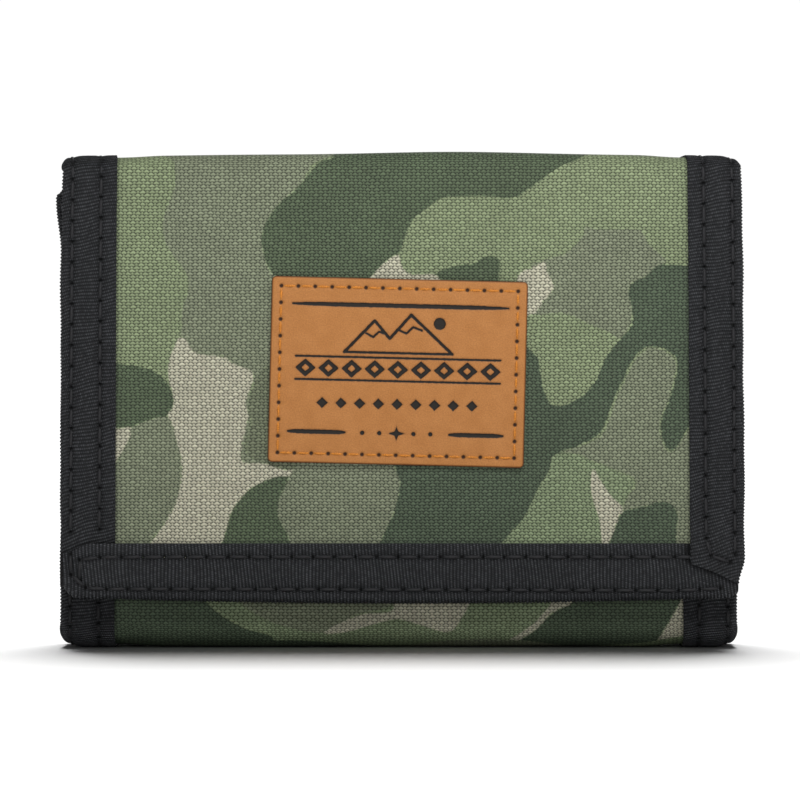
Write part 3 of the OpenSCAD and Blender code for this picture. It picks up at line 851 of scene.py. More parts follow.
def patch_stitches(finish):
    """The golden thread round the patch."""
    starts, ends = patch_seam()
    face = PATCH_LOW[1] + 0.05
    a = on_patch(starts[:, 0], starts[:, 1], face)
    b = on_patch(ends[:, 0], ends[:, 1], face)
    up = np.tile((0.0, -1.0, 0.0), (len(a), 1))
    side = np.cross(b - a, up)
    side /= np.linalg.norm(side, axis=1, keepdims=True)
    shape = tubes(thread_tubes(a, b, side, up, 0.25, 0.3, 0.14))
    obj = add_mesh("patch_stitches", shape, finish, ("patch_thread",))
    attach(obj, "flap")


# ---------------------------------------------------------------- inside


def lining_piece(part, finish, nodes):
    """One of the four pieces of lining, tucked under the tapes' inner edges."""
    low, high = cut_of(part)
    u = steps(low, high, 0.8)[:, None]
    x = steps(-CLOTH_HALF, CLOTH_HALF, 0.8)[None, :]
    ends = np.maximum(smooth((24 - u) / 4), smooth((u - U_END + 14) / 3))
    tucked = np.maximum(smooth((np.abs(x) - 48) / 3.4), ends)
    d = PANEL - 0.06 - 0.46 * tucked + 0.05 * np.sin(x / 9) * np.sin(u / 8)
    shape = slab(place(x, u, d), place(x, u, d - LINING_THICK))
    obj = add_mesh("lining_" + part, shape, finish, nodes, {"weave": twice(flat_field(x, u))})
    bend(obj)


def board_piece(node, body, low, high, finish):
    """The stiffener board inside a panel, following the panel's soft shape."""
    a, b = span(node)
    u = steps(low, high, 2.0)[:, None]
    x = steps(a[0] + 1.5, b[0] - 1.5, 2.0)[None, :]
    fields = {"weave": twice(flat_field(x, u))}
    obj = add_mesh(node, slab(place(x, u, 0.95 + 0 * x), place(x, u, 1.75 + 0 * x)), finish,
                   (node,), fields)
    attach(obj, body)


def sheet_between(node, thick, trim=0.0, pitch=0.8):
    """A closed, softly waved sheet that fills a CAD node's face, thick millimetres deep from its front."""
    low, high = span(node)
    x = steps(low[0], high[0], pitch)[:, None]
    z = steps(low[2], high[2] - trim, pitch)[None, :]
    wave = 0.05 * np.sin(x / 8.3 + z / 17)
    y = low[1] + 0.05 + wave
    x, z, y = np.broadcast_arrays(x, z, y)
    front = np.stack([x, y, z], -1)
    back = np.stack([x, y + thick, z], -1)
    return slab(front, back), {"weave": twice(flat_field(x, z))}, (high[0] - low[0], high[2] - low[2])


def inner_sheet(name, body, finish, thick, trim=0.0, pitch=0.8):
    """A sewn-in sheet of cloth, made from its CAD node's place."""
    form, fields, size = sheet_between(name, thick, trim, pitch)
    obj = add_mesh(name, form, finish, (name,), fields)
    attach(obj, body)


def band(path, wide, front, back):
    """A flat strip of the given width along a path of x and z, mitred at its corners, between two depths."""
    path = np.array(path, float)
    pieces = []
    for a, b in zip(path, path[1:]):
        pieces.extend(a + (b - a) * t for t in np.linspace(0, 1, max(2, int(np.hypot(*(b - a)) / 1.0)))[:-1])
    pieces.append(path[-1])
    line = np.array(pieces)
    step = np.gradient(line, axis=0)
    step /= np.linalg.norm(step, axis=1, keepdims=True)
    side = np.stack([-step[:, 1], step[:, 0]], -1)
    before = np.vstack([line[1] - line[0], np.diff(line, axis=0)])
    before /= np.linalg.norm(before, axis=1, keepdims=True)
    cosine = np.clip(np.abs((before * step).sum(1)), 0.5, 1)
    offsets = np.array((-0.5, -0.44, -0.2, 0.0, 0.2, 0.44, 0.5)) * wide
    crown = np.array((0.18, 0.03, 0, 0, 0, 0.03, 0.18))
    flat = line[:, None] + side[:, None] * (offsets[None, :, None] / cosine[:, None, None])
    along = np.concatenate([[0], np.cumsum(np.linalg.norm(np.diff(line, axis=0), axis=1))])
    y0 = np.broadcast_to(front + crown * (back - front), flat.shape[:2])
    y1 = np.broadcast_to(back - crown * 0.3, flat.shape[:2])
    outer = np.stack([flat[..., 0], y0, flat[..., 1]], -1)
    inner = np.stack([flat[..., 0], y1, flat[..., 1]], -1)
    return slab(outer, inner), {"weave": twice(flat_field(along[:, None], offsets[None, :]))}


def block(low, high, radius, cells=6):
    """A closed block with rounded edges, between two corners."""
    low, high = np.array(low, float), np.array(high, float)
    t = np.linspace(-1, 1, cells + 1)
    points, faces, known = [], [], {}
    for axis in range(3):
        for way in (-1, 1):
            for i in range(cells):
                for j in range(cells):
                    corner = []
                    for p, q in ((i, j), (i + 1, j), (i + 1, j + 1), (i, j + 1)):
                        spot = [0.0, 0.0, 0.0]
                        spot[axis] = float(way)
                        spot[(axis + 1) % 3] = t[p]
                        spot[(axis + 2) % 3] = t[q] * way
                        key = tuple(round(v, 6) for v in spot)
                        if key not in known:
                            known[key] = len(points)
                            points.append(spot)
                        corner.append(known[key])
                    faces.append(corner)
    unit = np.array(points)
    half = (high - low) / 2
    radius = min(radius, half.min())
    core = np.clip(unit * half, -(half - radius), half - radius)
    reach = np.sign(unit) * np.maximum(np.abs(unit * half) - (half - radius), 0)
    length = np.linalg.norm(reach, axis=1, keepdims=True)
    far = radius * reach / np.maximum(length, 1e-9)
    return (low + high) / 2 + core + far, np.array(faces)


def joined(shapes):
    """Several closed shapes as one list of points and one of faces."""
    points, faces, count = [], [], 0
    for p, f in shapes:
        points.append(p)
        faces.append(f + count)
        count += len(p)
    return np.concatenate(points), np.concatenate(faces)


def wire(path, radius, sides=6):
    """A closed tube of one radius along a 3-D path."""
    path = np.array(path, float)
    step = np.gradient(path, axis=0)
    step /= np.linalg.norm(step, axis=1, keepdims=True)
    side = np.cross(step, (0.31, 0.87, 0.38))
    side /= np.linalg.norm(side, axis=1, keepdims=True)
    up = np.cross(side, step)
    turn = np.arange(sides) / sides * 2 * np.pi
    ring = side[:, None] * np.cos(turn)[None, :, None] + up[:, None] * np.sin(turn)[None, :, None]
    return tubes((path[:, None] + ring * radius)[None])


def fastener_hooks(finish):
    """The hook half of the closure: a woven base with rows of small bent hooks."""
    low, high = span("hook_patch")
    rng = np.random.default_rng(7)
    x, z = np.meshgrid(np.arange(low[0] + 1.4, high[0] - 1, 1.5), np.arange(low[2] + 1.2, high[2] - 1, 1.25))
    x = x.ravel() + rng.uniform(-0.12, 0.12, x.size)
    z = z.ravel() + rng.uniform(-0.1, 0.1, z.size)
    way = np.where(rng.random(x.size) < 0.5, -1.0, 1.0)
    bend_x = np.array((0, 0.02, 0.12, 0.36, 0.52, 0.5))
    bend_y = np.array((0, 0.32, 0.56, 0.6, 0.48, 0.3))
    base = low[1] + 0.42
    middle = np.stack([x[:, None] + way[:, None] * bend_x, base + bend_y + 0 * x[:, None],
                       z[:, None] + 0 * bend_x], -1)
    turn = np.arange(4) / 4 * 2 * np.pi
    ring = np.stack([0.11 * np.cos(turn), 0.06 * np.cos(turn), 0.11 * np.sin(turn)], -1)
    hooks = tubes(middle[:, :, None] + ring[None, None])
    plate = block((low[0], low[1], low[2]), (high[0], base + 0.04, high[2]), 0.18, 12)
    shape = joined((plate, hooks))
    obj = add_mesh("hook_patch", shape, finish, ("hook_patch",),
                   {"weave": shape[0][:, [0, 2, 1]]})
    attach(obj, "flap")


def fastener_loops(finish):
    """The loop half of the closure: a base covered in small soft loops."""
    low, high = span("loop_patch")
    rng = np.random.default_rng(11)
    count = 1500
    x = rng.uniform(low[0] + 0.9, high[0] - 0.9, count)
    z = rng.uniform(low[2] + 0.9, high[2] - 0.9, count)
    face = rng.uniform(0, np.pi, count)
    size = rng.uniform(0.4, 0.62, count)
    t = np.linspace(0, np.pi, 6)
    along = size[:, None] * np.cos(t)
    base = high[1] - 0.45
    middle = np.stack([x[:, None] + along * np.cos(face)[:, None], base - size[:, None] * np.sin(t) * 0.9,
                       z[:, None] + along * np.sin(face)[:, None]], -1)
    turn = np.arange(4) / 4 * 2 * np.pi
    ring = np.stack([0.07 * np.cos(turn), 0.05 * np.cos(turn), 0.07 * np.sin(turn)], -1)
    loops = tubes(middle[:, :, None] + ring[None, None])
    plate = block((low[0], base - 0.04, low[2]), (high[0], high[1], high[2]), 0.18, 12)
    shape = joined((plate, loops))
    obj = add_mesh("loop_patch", shape, finish, ("loop_patch",),
                   {"weave": shape[0][:, [0, 2, 1]]})
    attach(obj, "front_panel")


def card_pockets(cloth, tape):
    """The bill divider, its bound edge, three card slots and their folded hems."""
    inner_sheet("bill_divider", "back_panel", cloth, 0.5)
    inner_sheet("bill_edge_tape", "back_panel", tape, 1.3)
    for row in ("upper", "middle", "lower"):
        inner_sheet("card_slot_" + row, "back_panel", cloth, 0.5, trim=0.3)
        low, high = span("card_hem_" + row)
        z = (low[2] + high[2]) / 2
        shape, fields = band(((low[0], z), (high[0], z)), high[2] - low[2], low[1], high[1])
        obj = add_mesh("card_hem_" + row, shape, tape, ("card_hem_" + row,), fields)
        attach(obj, "back_panel")


def id_window(film, tape):
    """The clear window on the flap's inner face and the tape that frames three sides of it."""
    low, high = span("id_window")
    x = steps(low[0], high[0], 1.2)[:, None]
    z = steps(low[2], high[2], 1.2)[None, :]
    y = (low[1] + high[1]) / 2 + 0.06 * np.sin(x / 7 + 1) * np.sin(z / 6)
    x, y, z = np.broadcast_arrays(x, y, z)
    pane = slab(np.stack([x, y - 0.09, z], -1), np.stack([x, y + 0.09, z], -1))
    obj = add_mesh("id_window", pane, film, ("id_window",), {"weave": twice(flat_field(x, z))})
    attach(obj, "flap")
    low, high = span("id_window_trim")
    side, base = low[0] + 2, low[2] + 2
    path = ((side, high[2]), (side, base), (-side, base), (-side, high[2]))
    shape, fields = band(path, 4.0, high[1], low[1])
    trim = add_mesh("id_window_trim", shape, tape, ("id_window_trim",), fields)
    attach(trim, "flap")


def coil(row, finish):
    """One row of the zip: a continuous coil of wire whose turns are the teeth."""
    low, high = span("zip_coil_" + row)
    middle = (low + high) / 2
    turns = int((high[0] - low[0]) / 1.0)
    t = np.linspace(0, 1, turns * 12 + 1)
    angle = t * turns * 2 * np.pi
    lean = 1 if row == "upper" else -1
    x = low[0] + 0.2 + t * (high[0] - low[0] - 0.4)
    y = middle[1] + 0.42 * np.cos(angle)
    z = middle[2] + lean * 0.48 * np.sin(angle)
    return add_mesh("zip_coil_" + row, wire(np.stack([x, y, z], -1), 0.17), finish,
                    ("zip_coil_" + row,))


def zip_slider(finish):
    """The slider: two plates joined at the nose, and its bridge."""
    low, high = span("zip_slider")
    left, right = low[0], high[0]
    top = high[1]
    parts = [
        block((left, top - 1.65, low[2] + 0.2), (right, top - 0.95, high[2] - 0.2), 0.34, 8),
        block((left + 0.3, low[1], low[2] + 0.5), (right - 0.3, low[1] + 0.7, high[2] - 0.5), 0.3, 8),
        block((right - 1.6, low[1] + 0.3, -0.5 + (low[2] + high[2]) / 2),
              (right - 0.4, top - 1.2, 0.5 + (low[2] + high[2]) / 2), 0.3, 6),
    ]
    z = (low[2] + high[2]) / 2
    t = np.linspace(0, np.pi, 14)
    arch = top - 1.15 + 0.78 * np.sin(t) ** 0.6
    bow = np.stack([(left + right) / 2 - 2.3 * np.cos(t), arch, z + 0 * t], -1)
    parts.append(wire(bow, 0.36, 10))
    obj = add_mesh("zip_slider", joined(parts), finish, ("zip_slider",))
    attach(obj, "zip_slider")


def zip_pull(finish):
    """The pull: a flat tapered tab with a hole for the bridge and a raised grip."""
    low, high = span("zip_pull")
    n = 61
    t = np.linspace(0, 1, n)
    length = high[0] - low[0]
    half = (high[2] - low[2]) / 2
    mid = (low + high) / 2
    nose = np.sqrt(np.clip(1 - ((t - 0.1) / 0.1) ** 2, 0, 1)) + (t > 0.1)
    shape = half * np.minimum(1, nose) * (1 - 0.28 * t)
    shape = shape * np.where(t > 0.94, np.sqrt(np.clip(1 - ((t - 0.94) / 0.06) ** 2, 0.05, 1)), 1)
    hole = 0.52 * np.sqrt(np.clip(1 - ((t - 0.9) / 0.07) ** 2, 0, 1))
    parts = []
    for way in (-1, 1):
        across = np.linspace(0, 1, 9)[None, :]
        inner = np.maximum(hole, 0.0)[:, None]
        outer = np.maximum(shape, 0.12)[:, None]
        z = mid[2] + way * (inner + (outer - inner) * across)
        x = np.broadcast_to((low[0] + length * t)[:, None], z.shape)
        grip = 0.07 * smooth((t - 0.08) / 0.05) * smooth((0.62 - t) / 0.05)
        ridge = grip[:, None] * (0.5 + 0.5 * np.cos(2 * np.pi * (x - low[0]) / 1.1))
        edge = 0.12 * np.maximum(smooth((across - 0.75) / 0.25), 0)
        y0, y1 = low[1] + 0.02 + edge - ridge * (1 - across) * 0.2, high[1] - 0.08 - edge + ridge
        parts.append(slab(np.stack([x, y0 + 0 * z, z], -1), np.stack([x, y1 + 0 * z, z], -1)))
    parts = [(p, outside_out(p, f)) for p, f in parts]
    obj = add_mesh("zip_pull", joined(parts), finish, ("zip_pull",))
    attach(obj, "zip_slider")


def coin_pocket(cloth, tape, teeth, metal):
    """The zipped coin pocket on the front panel's inner face."""
    inner_sheet("coin_pocket_panel", "front_panel", cloth, 0.5)
    inner_sheet("coin_pocket_upper", "front_panel", cloth, 0.5)
    for row in ("lower", "upper"):
        inner_sheet("zip_tape_" + row, "front_panel", tape, 0.4, pitch=0.5)
        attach(coil(row, teeth), "front_panel")
    low, high = span("coin_pocket_gusset")
    side, base = low[0] + 1.5, low[2] + 1.5
    path = ((side, high[2]), (side, base), (-side, base), (-side, high[2]))
    shape, fields = band(path, 2.8, high[1], low[1])
    gusset = add_mesh("coin_pocket_gusset", shape, cloth, ("coin_pocket_gusset",), fields)
    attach(gusset, "front_panel")
    low, high = span("zip_stops")
    stops = [block((x, low[1], low[2]), (x + 1.5, high[1], high[2]), 0.3) for x in (low[0], high[0] - 1.5)]
    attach(add_mesh("zip_stops", joined(stops), metal, ("zip_stops",)), "front_panel")
    zip_slider(metal)
    zip_pull(metal)


# ---------------------------------------------------------------- materials


def rgb(r, g, b):
    """A colour given as it looks on screen, 0 to 255, in the linear values the materials use."""
    shares = (v / 255 for v in (r, g, b))
    return tuple(v / 12.92 if v < 0.04045 else ((v + 0.055) / 1.055) ** 2.4 for v in shares) + (1,)


class Shader:
    """A material and short calls that add nodes to it."""

    def __init__(self, name, **inputs):
        self.material = bpy.data.materials.new(name)
        self.material.use_nodes = True
        self.tree = self.material.node_tree
        self.surface = self.tree.nodes["Principled BSDF"]
        for key, value in inputs.items():
            self.put(self.surface, key.replace("_", " "), value)

    def put(self, node, key, value):
        socket = node.inputs[key]
        if isinstance(value, bpy.types.NodeSocket):
            self.tree.links.new(value, socket)
        else:
            socket.default_value = value

    def node(self, kind, inputs=None, **settings):
        made = self.tree.nodes.new("ShaderNode" + kind)
        for key, value in settings.items():
            setattr(made, key, value)
        for key, value in (inputs or {}).items():
            self.put(made, key, value)
        return made

    def math(self, operation, *values, clamp=False):
        made = self.node("Math", dict(enumerate(values)), operation=operation, use_clamp=clamp)
        return made.outputs[0]

    def field(self, name, vector=False):
        made = self.node("Attribute", attribute_name=name)
        return made.outputs["Vector" if vector else "Fac"]

    def split(self, vector):
        return self.node("SeparateXYZ", {0: vector}).outputs

    def join(self, x, y, z=0.0):
        return self.node("CombineXYZ", {0: x, 1: y, 2: z}).outputs[0]

    def noise(self, vector, scale, detail=3.0):
        made = self.node("TexNoise", {"Vector": vector, "Scale": scale, "Detail": detail})
        return made.outputs["Fac"]

    def random(self, vector):
        return self.node("TexWhiteNoise", {"Vector": vector}, noise_dimensions="3D").outputs["Value"]

    def mix(self, factor, a, b):
        return self.node("Mix", {0: factor, 6: a, 7: b}, data_type="RGBA").outputs[2]

    def scale(self, colour, factor):
        colour = colour[:3] if isinstance(colour, tuple) else colour
        return self.node("VectorMath", {0: colour, "Scale": factor}, operation="SCALE").outputs[0]

    def span(self, value, low, high, to_low=0.0, to_high=1.0):
        inputs = {"Value": value, 1: low, 2: high, 3: to_low, 4: to_high}
        return self.node("MapRange", inputs, clamp=True).outputs[0]

    def bump(self, height, distance, strength=1.0):
        made = self.node("Bump", {"Height": height, "Distance": distance * MM, "Strength": strength})
        self.put(self.surface, "Normal", made.outputs[0])


def weave_cells(s, wide, tall):
    """Plain weave: how high each float is, and a random value for each float."""
    position = s.field("weave", vector=True)
    x, u, _ = s.split(position)
    wander = s.math("MULTIPLY_ADD", s.noise(position, 0.22, 1.0), 1.4 * wide, -0.7 * wide)
    column = s.math("DIVIDE", s.math("ADD", x, wander), wide)
    arch = s.math("MULTIPLY", s.math("COSINE", s.math("MULTIPLY", column, 2 * math.pi)), 0.12)
    row = s.math("ADD", s.math("DIVIDE", u, tall), s.math("ADD", arch, s.math("MULTIPLY", wander, 0.5)))
    across, line = s.math("FLOOR", column), s.math("FLOOR", row)
    under = s.math("PINGPONG", s.math("ADD", across, line), 1.0)
    fx = s.math("ABSOLUTE", s.math("MULTIPLY_ADD", s.math("FRACT", column), 2.0, -1.0))
    fu = s.math("MULTIPLY_ADD", s.math("FRACT", row), 2.0, -1.0)
    fall = s.math("MULTIPLY", fu, fu)
    reach = s.math("ADD", fx, s.math("MULTIPLY", under, s.math("MULTIPLY_ADD", fx, -2.0, 2.0)))
    edge = s.math("POWER", s.math("DIVIDE", reach, 1.4), 2.6)
    broad = s.math("SUBTRACT", s.math("SUBTRACT", 1.0, edge), s.math("MULTIPLY", fall, 0.9), clamp=True)
    round_x = s.math("MULTIPLY", s.math("MULTIPLY", fx, fx), 1.3)
    narrow = s.math("SUBTRACT", s.math("SUBTRACT", 0.72, round_x), s.math("MULTIPLY", fall, 0.7))
    height = s.math("MAXIMUM", broad, s.math("MULTIPLY", narrow, under))
    return height, s.random(s.join(across, line))


TONE_COLOURS = {
    "light": (126, 138, 105),
    "grey": (119, 126, 103),
    "dark": (79, 92, 69),
    "forest": (74, 87, 68),
    "tan": (174, 172, 151),
    "olive": (123, 137, 105),
    "moss": (106, 113, 90),
}
CLOTH_GAIN = 0.84


def camo_cloth():
    """Coarse nylon with a printed pattern whose edges step from float to float."""
    s = Shader("camo_cloth", Roughness=0.72, Specular_IOR_Level=0.28)
    height, chance = weave_cells(s, 0.81, 0.55)
    position = s.field("weave", vector=True)
    jitter = s.math("MULTIPLY_ADD", chance, 0.24, -0.12)
    colour = rgb(*TONE_COLOURS["light"])
    for tone in TONES[1:]:
        edge = s.math("ADD", s.field("tone_" + tone), jitter)
        colour = s.mix(s.span(edge, 0.14, -0.14), colour, rgb(*TONE_COLOURS[tone]))
    patchy = s.span(s.noise(position, 0.09, 3.0), 0.3, 0.7, 0.93, 1.07)
    # Painted highlight on the floats' tops and painted shade in the gaps between them, from each float's
    # height.
    floats = s.math("MULTIPLY_ADD", s.math("SQRT", height), 1.15, 0.13)
    each = s.math("MULTIPLY_ADD", chance, 0.24, 0.88)
    bright = s.math("MULTIPLY", s.math("MULTIPLY", floats, each), s.math("MULTIPLY", patchy, CLOTH_GAIN))
    # The shade attribute adds painted shade at the tapes' edges and painted light near the base.
    bright = s.math("MULTIPLY", bright, s.field("shade"))
    s.put(s.surface, "Base Color", s.scale(colour, bright))
    s.bump(height, 0.12, 0.8)
    return s.material


def lining_cloth(name, tone, wide=0.5):
    """Plain nylon cloth of one colour with a fine weave."""
    s = Shader(name, Roughness=0.62, Specular_IOR_Level=0.35)
    height, chance = weave_cells(s, wide, wide * 0.7)
    patchy = s.span(s.noise(s.field("weave", vector=True), 0.11), 0.3, 0.7, 0.9, 1.1)
    # Painted highlight on the floats' tops and painted shade between them, from each float's height.
    floats = s.math("MULTIPLY_ADD", height, 0.5, 0.7)
    each = s.math("MULTIPLY_ADD", chance, 0.3, 0.85)
    bright = s.math("MULTIPLY", s.math("MULTIPLY", floats, each), patchy)
    s.put(s.surface, "Base Color", s.scale(rgb(*tone), bright))
    s.bump(height, 0.08, 0.7)
    return s.material


def binding_tape():
    """Black ribbed tape, whose ribs are rows of small dots of yarn."""
    s = Shader("binding_tape", Roughness=0.7, Specular_IOR_Level=0.12)
    along, across, _ = s.split(s.field("weave", vector=True))
    rib = s.math("DIVIDE", along, RIB)
    line = s.math("ROUND", rib)
    stagger = s.math("MULTIPLY", s.math("PINGPONG", line, 1.0), 0.5)
    dot = s.math("ADD", s.math("DIVIDE", across, 0.4), stagger)
    chance = s.random(s.join(s.math("FLOOR", dot), line))
    fx = s.math("MULTIPLY_ADD", s.math("FRACT", dot), 2.0, -1.0)
    bead = s.math("SUBTRACT", 1.0, s.math("MULTIPLY", s.math("MULTIPLY", fx, fx), 0.8))
    ridge = s.math("MULTIPLY_ADD", s.math("COSINE", s.math("MULTIPLY", rib, 2 * math.pi)), 0.5, 0.5)
    height = s.math("MULTIPLY", bead, ridge)
    patchy = s.span(s.noise(s.field("weave", vector=True), 0.25), 0.3, 0.7, 0.85, 1.15)
    each = s.math("MULTIPLY", s.math("MULTIPLY_ADD", chance, 0.9, 0.55), patchy)
    # Painted highlight on the yarn dots and painted shade between the ribs, from their height.
    bright = s.math("MULTIPLY_ADD", s.math("MULTIPLY", height, each), 1.5, 0.4)
    # The shade attribute adds painted shade at the seams and under overlapping tapes, and painted light on
    # the edge tapes and near the base.
    s.put(s.surface, "Base Color", s.scale(rgb(45, 46, 48), s.math("MULTIPLY", bright, s.field("shade"))))
    s.bump(height, 0.22, 1.0)
    return s.material


def fastener(name, tone):
    """Black nylon of the hook and loop closure, with a little scatter in its yarns."""
    s = Shader(name, Roughness=0.6, Specular_IOR_Level=0.4)
    speck = s.noise(s.field("weave", vector=True), 1.8, 2.0)
    s.put(s.surface, "Base Color", s.scale(rgb(*tone), s.span(speck, 0.3, 0.7, 0.7, 1.35)))
    s.bump(speck, 0.1, 0.6)
    return s.material


def pressed_board():
    """Grey pressed board with faint fibres."""
    s = Shader("stiffener_board", Roughness=0.85)
    fibres = s.noise(s.field("weave", vector=True), 0.8, 4.0)
    s.put(s.surface, "Base Color", s.scale(rgb(150, 144, 132), s.span(fibres, 0.3, 0.7, 0.85, 1.1)))
    s.bump(fibres, 0.05, 0.5)
    return s.material


def clear_film():
    """Clear vinyl with a faint haze."""
    s = Shader("clear_film", Roughness=0.12, Specular_IOR_Level=0.6, Transmission_Weight=0.92)
    haze = s.noise(s.field("weave", vector=True), 0.12, 2.0)
    s.put(s.surface, "Base Color", s.scale(rgb(236, 240, 240), s.span(haze, 0.3, 0.7, 0.92, 1.0)))
    s.bump(haze, 0.2, 0.3)
    return s.material


def zip_metal():
    """Dark nickel with fine wear."""
    s = Shader("zip_metal", Metallic=1.0)
    spot = s.node("TexCoord").outputs["Object"]
    worn = s.noise(spot, 900.0, 4.0)
    s.put(s.surface, "Base Color", s.scale(rgb(150, 148, 144), s.span(worn, 0.3, 0.7, 0.8, 1.1)))
    s.put(s.surface, "Roughness", s.span(worn, 0.3, 0.7, 0.22, 0.42))
    s.bump(worn, 0.02, 0.4)
    return s.material


def zip_teeth():
    """Black nylon wire with a soft shine."""
    s = Shader("zip_coil", Roughness=0.35, Specular_IOR_Level=0.5)
    spot = s.node("TexCoord").outputs["Object"]
    speck = s.noise(spot, 1400.0, 2.0)
    s.put(s.surface, "Base Color", s.scale(rgb(36, 36, 38), s.span(speck, 0.3, 0.7, 0.75, 1.3)))
    s.bump(speck, 0.02, 0.4)
    return s.material


def twisted_thread(name, tone, gloss):
    """Thread with a fine twist."""
    s = Shader(name, Roughness=gloss, Specular_IOR_Level=0.2)
    grain = s.noise(s.node("TexCoord").outputs["Object"], 5200.0, 1.0)
    s.put(s.surface, "Base Color", s.scale(rgb(*tone), s.span(grain, 0.3, 0.7, 0.6, 1.3)))
    s.bump(grain, 0.05, 0.6)
    return s.material


def tan_leather():
    """Waxy tan leather, mottled, with dark burnt lines and a darker cut edge."""
    s = Shader("patch_leather", Roughness=0.55, Specular_IOR_Level=0.2)
    spot = s.field("grain", vector=True)
    cloudy = s.span(s.noise(spot, 0.3, 5.0), 0.25, 0.75)
    colour = s.mix(cloudy, rgb(155, 101, 50), rgb(166, 111, 60))
    colour = s.scale(colour, s.span(s.noise(spot, 4.0, 3.0), 0.35, 0.65, 0.84, 1.1))
    colour = s.mix(s.span(s.field("rim"), 0.35, 0.05), colour, rgb(96, 56, 30))
    edge = s.math("ADD", s.field("burn"), s.span(s.noise(spot, 1.5), 0.3, 0.7, -0.04, 0.04))
    colour = s.mix(s.span(edge, 0.3, 0.0, 0.0, 0.3), colour, rgb(84, 48, 24))
    burnt = s.mix(s.span(edge, -0.12, -0.3), rgb(15, 12, 9), rgb(27, 22, 17))
    colour = s.mix(s.span(edge, 0.05, -0.05), colour, burnt)
    # Painted shade in the stitch holes.
    colour = s.mix(s.span(s.field("hole"), 0.48, 0.25), colour, rgb(44, 24, 12))
    s.put(s.surface, "Base Color", colour)
    s.bump(s.noise(spot, 2.4, 4.0), 0.08, 0.5)
    return s.material


# ---------------------------------------------------------------- stage


# Lamps: name, kind, place or direction, size or angle, power, and whether it lights the floor alone or
# everything but the floor.
LAMPS = (
    ("floor_light", "SUN", (0, 0.3, 0.954), math.radians(33), 4.1, True),
    ("back_light", "SUN", (0.3, 0.8, 0.6), math.radians(50), 1.6, False),
    ("key", "AREA", (0.05, -0.25, 0.32), 0.16, 1.14, False),
    ("front", "AREA", (0.03, -0.58, 0.12), 0.2, 0.75, False),
)
AIM = (0, 0, 0.045)
SENSOR = 36
VIEW_WIDE = 0.14545
CAMERA_AWAY = 0.65
CAMERA_RISE = math.radians(0.4)


def white_world():
    """A background that is white to the camera and only a dim light to everything else."""
    scene = bpy.context.scene
    scene.view_settings.view_transform = "Standard"
    world = scene.world or bpy.data.worlds.new("studio")
    scene.world = world
    world.use_nodes = True
    shade = world.node_tree.nodes["Background"]
    shade.inputs[0].default_value = (1, 1, 1, 1)
    seen = world.node_tree.nodes.new("ShaderNodeLightPath")
    strength = world.node_tree.nodes.new("ShaderNodeMapRange")
    world.node_tree.links.new(seen.outputs["Is Camera Ray"], strength.inputs["Value"])
    strength.inputs["To Min"].default_value = 0.08
    strength.inputs["To Max"].default_value = 1.02
    world.node_tree.links.new(strength.outputs[0], shade.inputs[1])


def white_floor():
    """The floor, just below the wallet's base."""
    bpy.ops.mesh.primitive_plane_add(size=12, location=(0, 0, -0.0001))
    floor = bpy.context.object
    floor.name = "floor"
    white = Shader("white_floor", Roughness=0.9, Base_Color=(0.93, 0.93, 0.93, 1))
    floor.data.materials.append(white.material)
    return floor


def lamp(floor, name, kind, spot, size, power, on_floor):
    """A lamp aimed at the wallet, linked so that it lights either the floor alone or everything but it."""
    data = bpy.data.lights.new(name, kind)
    setattr(data, "angle" if kind == "SUN" else "size", size)
    data.energy = power
    obj = bpy.data.objects.new(name, data)
    bpy.context.scene.collection.objects.link(obj)
    obj.location = spot
    obj.visible_camera = False
    obj.rotation_euler = facing(np.array(AIM) - np.array(spot))
    lit = bpy.data.collections.new(name + "_lights")
    lit.objects.link(floor)
    obj.light_linking.receiver_collection = lit
    lit.collection_objects[0].light_linking.link_state = "INCLUDE" if on_floor else "EXCLUDE"


def low_camera():
    """The camera, almost level with the middle of the flap."""
    data = bpy.data.cameras.new("camera")
    data.sensor_width = SENSOR
    data.lens = SENSOR * CAMERA_AWAY / VIEW_WIDE
    data.clip_start = 0.01
    obj = bpy.data.objects.new("camera", data)
    bpy.context.scene.collection.objects.link(obj)
    target = np.array((-0.2, FLAP_Y, 45.5)) * MM
    back = np.array((0, -math.cos(CAMERA_RISE), math.sin(CAMERA_RISE)))
    obj.location = target + back * CAMERA_AWAY
    obj.rotation_euler = facing(-back)
    bpy.context.scene.camera = obj


def facing(aim):
    """The rotation that points a camera or a light along a direction."""
    return Vector(aim).to_track_quat("-Z", "Y").to_euler()


# ---------------------------------------------------------------- the wallet

PART_NODES = {"flap": ("flap",), "top": ("top_fold", "back"), "back": ("bottom_fold",), "front": ("front",)}


def nodes_of(part, ending):
    """The CAD nodes that a cloth, lining or tape piece of a part stands for."""
    return tuple(name + ending for name in PART_NODES[part])


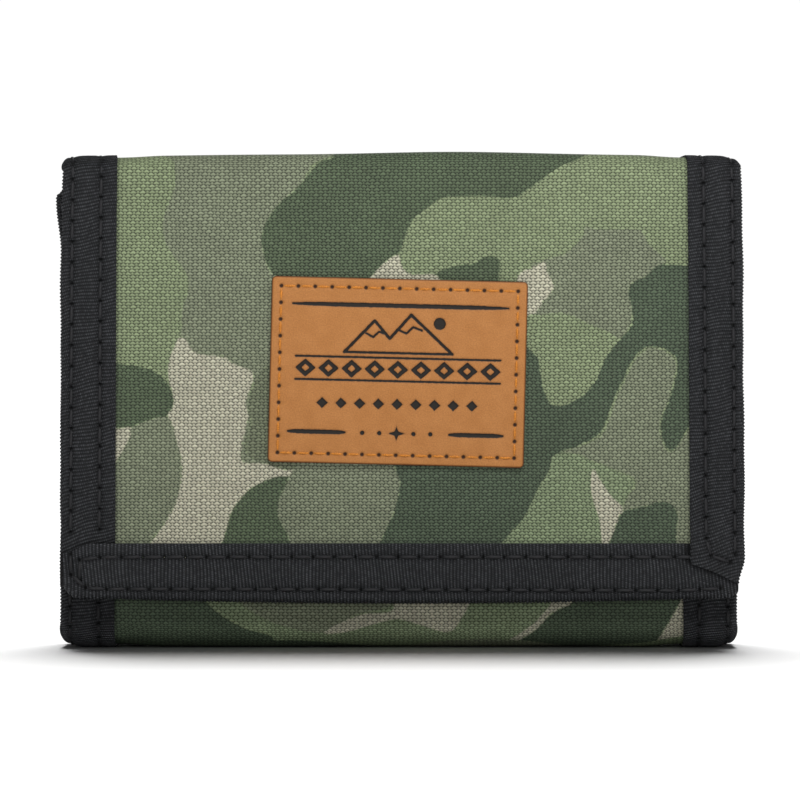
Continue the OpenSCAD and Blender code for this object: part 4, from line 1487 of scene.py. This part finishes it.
def build_outside():
    """Everything that shows on the closed wallet."""
    camo = camo_cloth()
    tape = binding_tape()
    thread = twisted_thread("tape_thread", (33, 33, 35), 0.6)
    for part, (_, _, low, high, _, _) in PARTS.items():
        cloth_piece(part, camo, nodes_of(part, "_shell"))
        for side in ("left", "right"):
            side_tape(side, part, tape, nodes_of(part, "_tape_" + side))
            over = right_tape_over if side == "right" and part == "flap" else level
            shape = seam_threads(SIDE_SEAMS[side], low, high, over)
            stitches = add_mesh(f"stitches_{side}_{part}", shape, thread)
            bend(stitches)
    leather_patch(tan_leather())
    patch_stitches(twisted_thread("patch_thread", (186, 116, 42), 0.5))
    free_edge_tape("tape_flap_edge", "flap", (-61.4, 60.7), FLAP_END, 1, edge_shape, flap_tape_top,
                   flap_tape_over, FLAP_SEAMS, tape, ("flap_tape_bottom",))
    shape = seam_threads(FLAP_SEAMS, 0, 40, flap_tape_over)
    stitches = add_mesh("stitches_flap_edge", shape, thread)
    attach(stitches, "flap")
    free_edge_tape("tape_front_edge", "front_panel", (-61.2, 61.2), U_END, -1, edge_shape, front_tape_edge,
                   front_tape_over, FRONT_SEAMS, tape, ("front_tape_top",))
    shape = seam_threads(FRONT_SEAMS, U_END - 20, U_END, front_tape_over)
    stitches = add_mesh("stitches_front_edge", shape, thread)
    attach(stitches, "front_panel")


def build_inside():
    """Linings, boards, pockets, the zip, the window and the closure."""
    lining = lining_cloth("lining_cloth", (84, 90, 74), 0.45)
    pocket = lining_cloth("pocket_cloth", (66, 69, 62), 0.45)
    board = pressed_board()
    tape = bpy.data.materials["binding_tape"]
    for part in PARTS:
        lining_piece(part, lining, nodes_of(part, "_liner"))
    board_piece("flap_board", "flap", FLAP_END + 11, U_TOP - 3.5, board)
    board_piece("back_board", "back_panel", U_BACK + 4, U_BASE - 4, board)
    board_piece("front_board", "front_panel", U_FRONT + 5, U_FRONT + span("front_board")[1][2], board)
    card_pockets(pocket, tape)
    id_window(clear_film(), tape)
    coin_pocket(pocket, lining_cloth("zip_tape", (34, 34, 36), 0.35), zip_teeth(), zip_metal())
    fastener_hooks(fastener("hook_fastener", (34, 34, 36)))
    fastener_loops(fastener("loop_fastener", (40, 40, 42)))


build_outside()
build_inside()
white_world()
floor_piece = white_floor()
for settings in LAMPS:
    lamp(floor_piece, *settings)
low_camera()
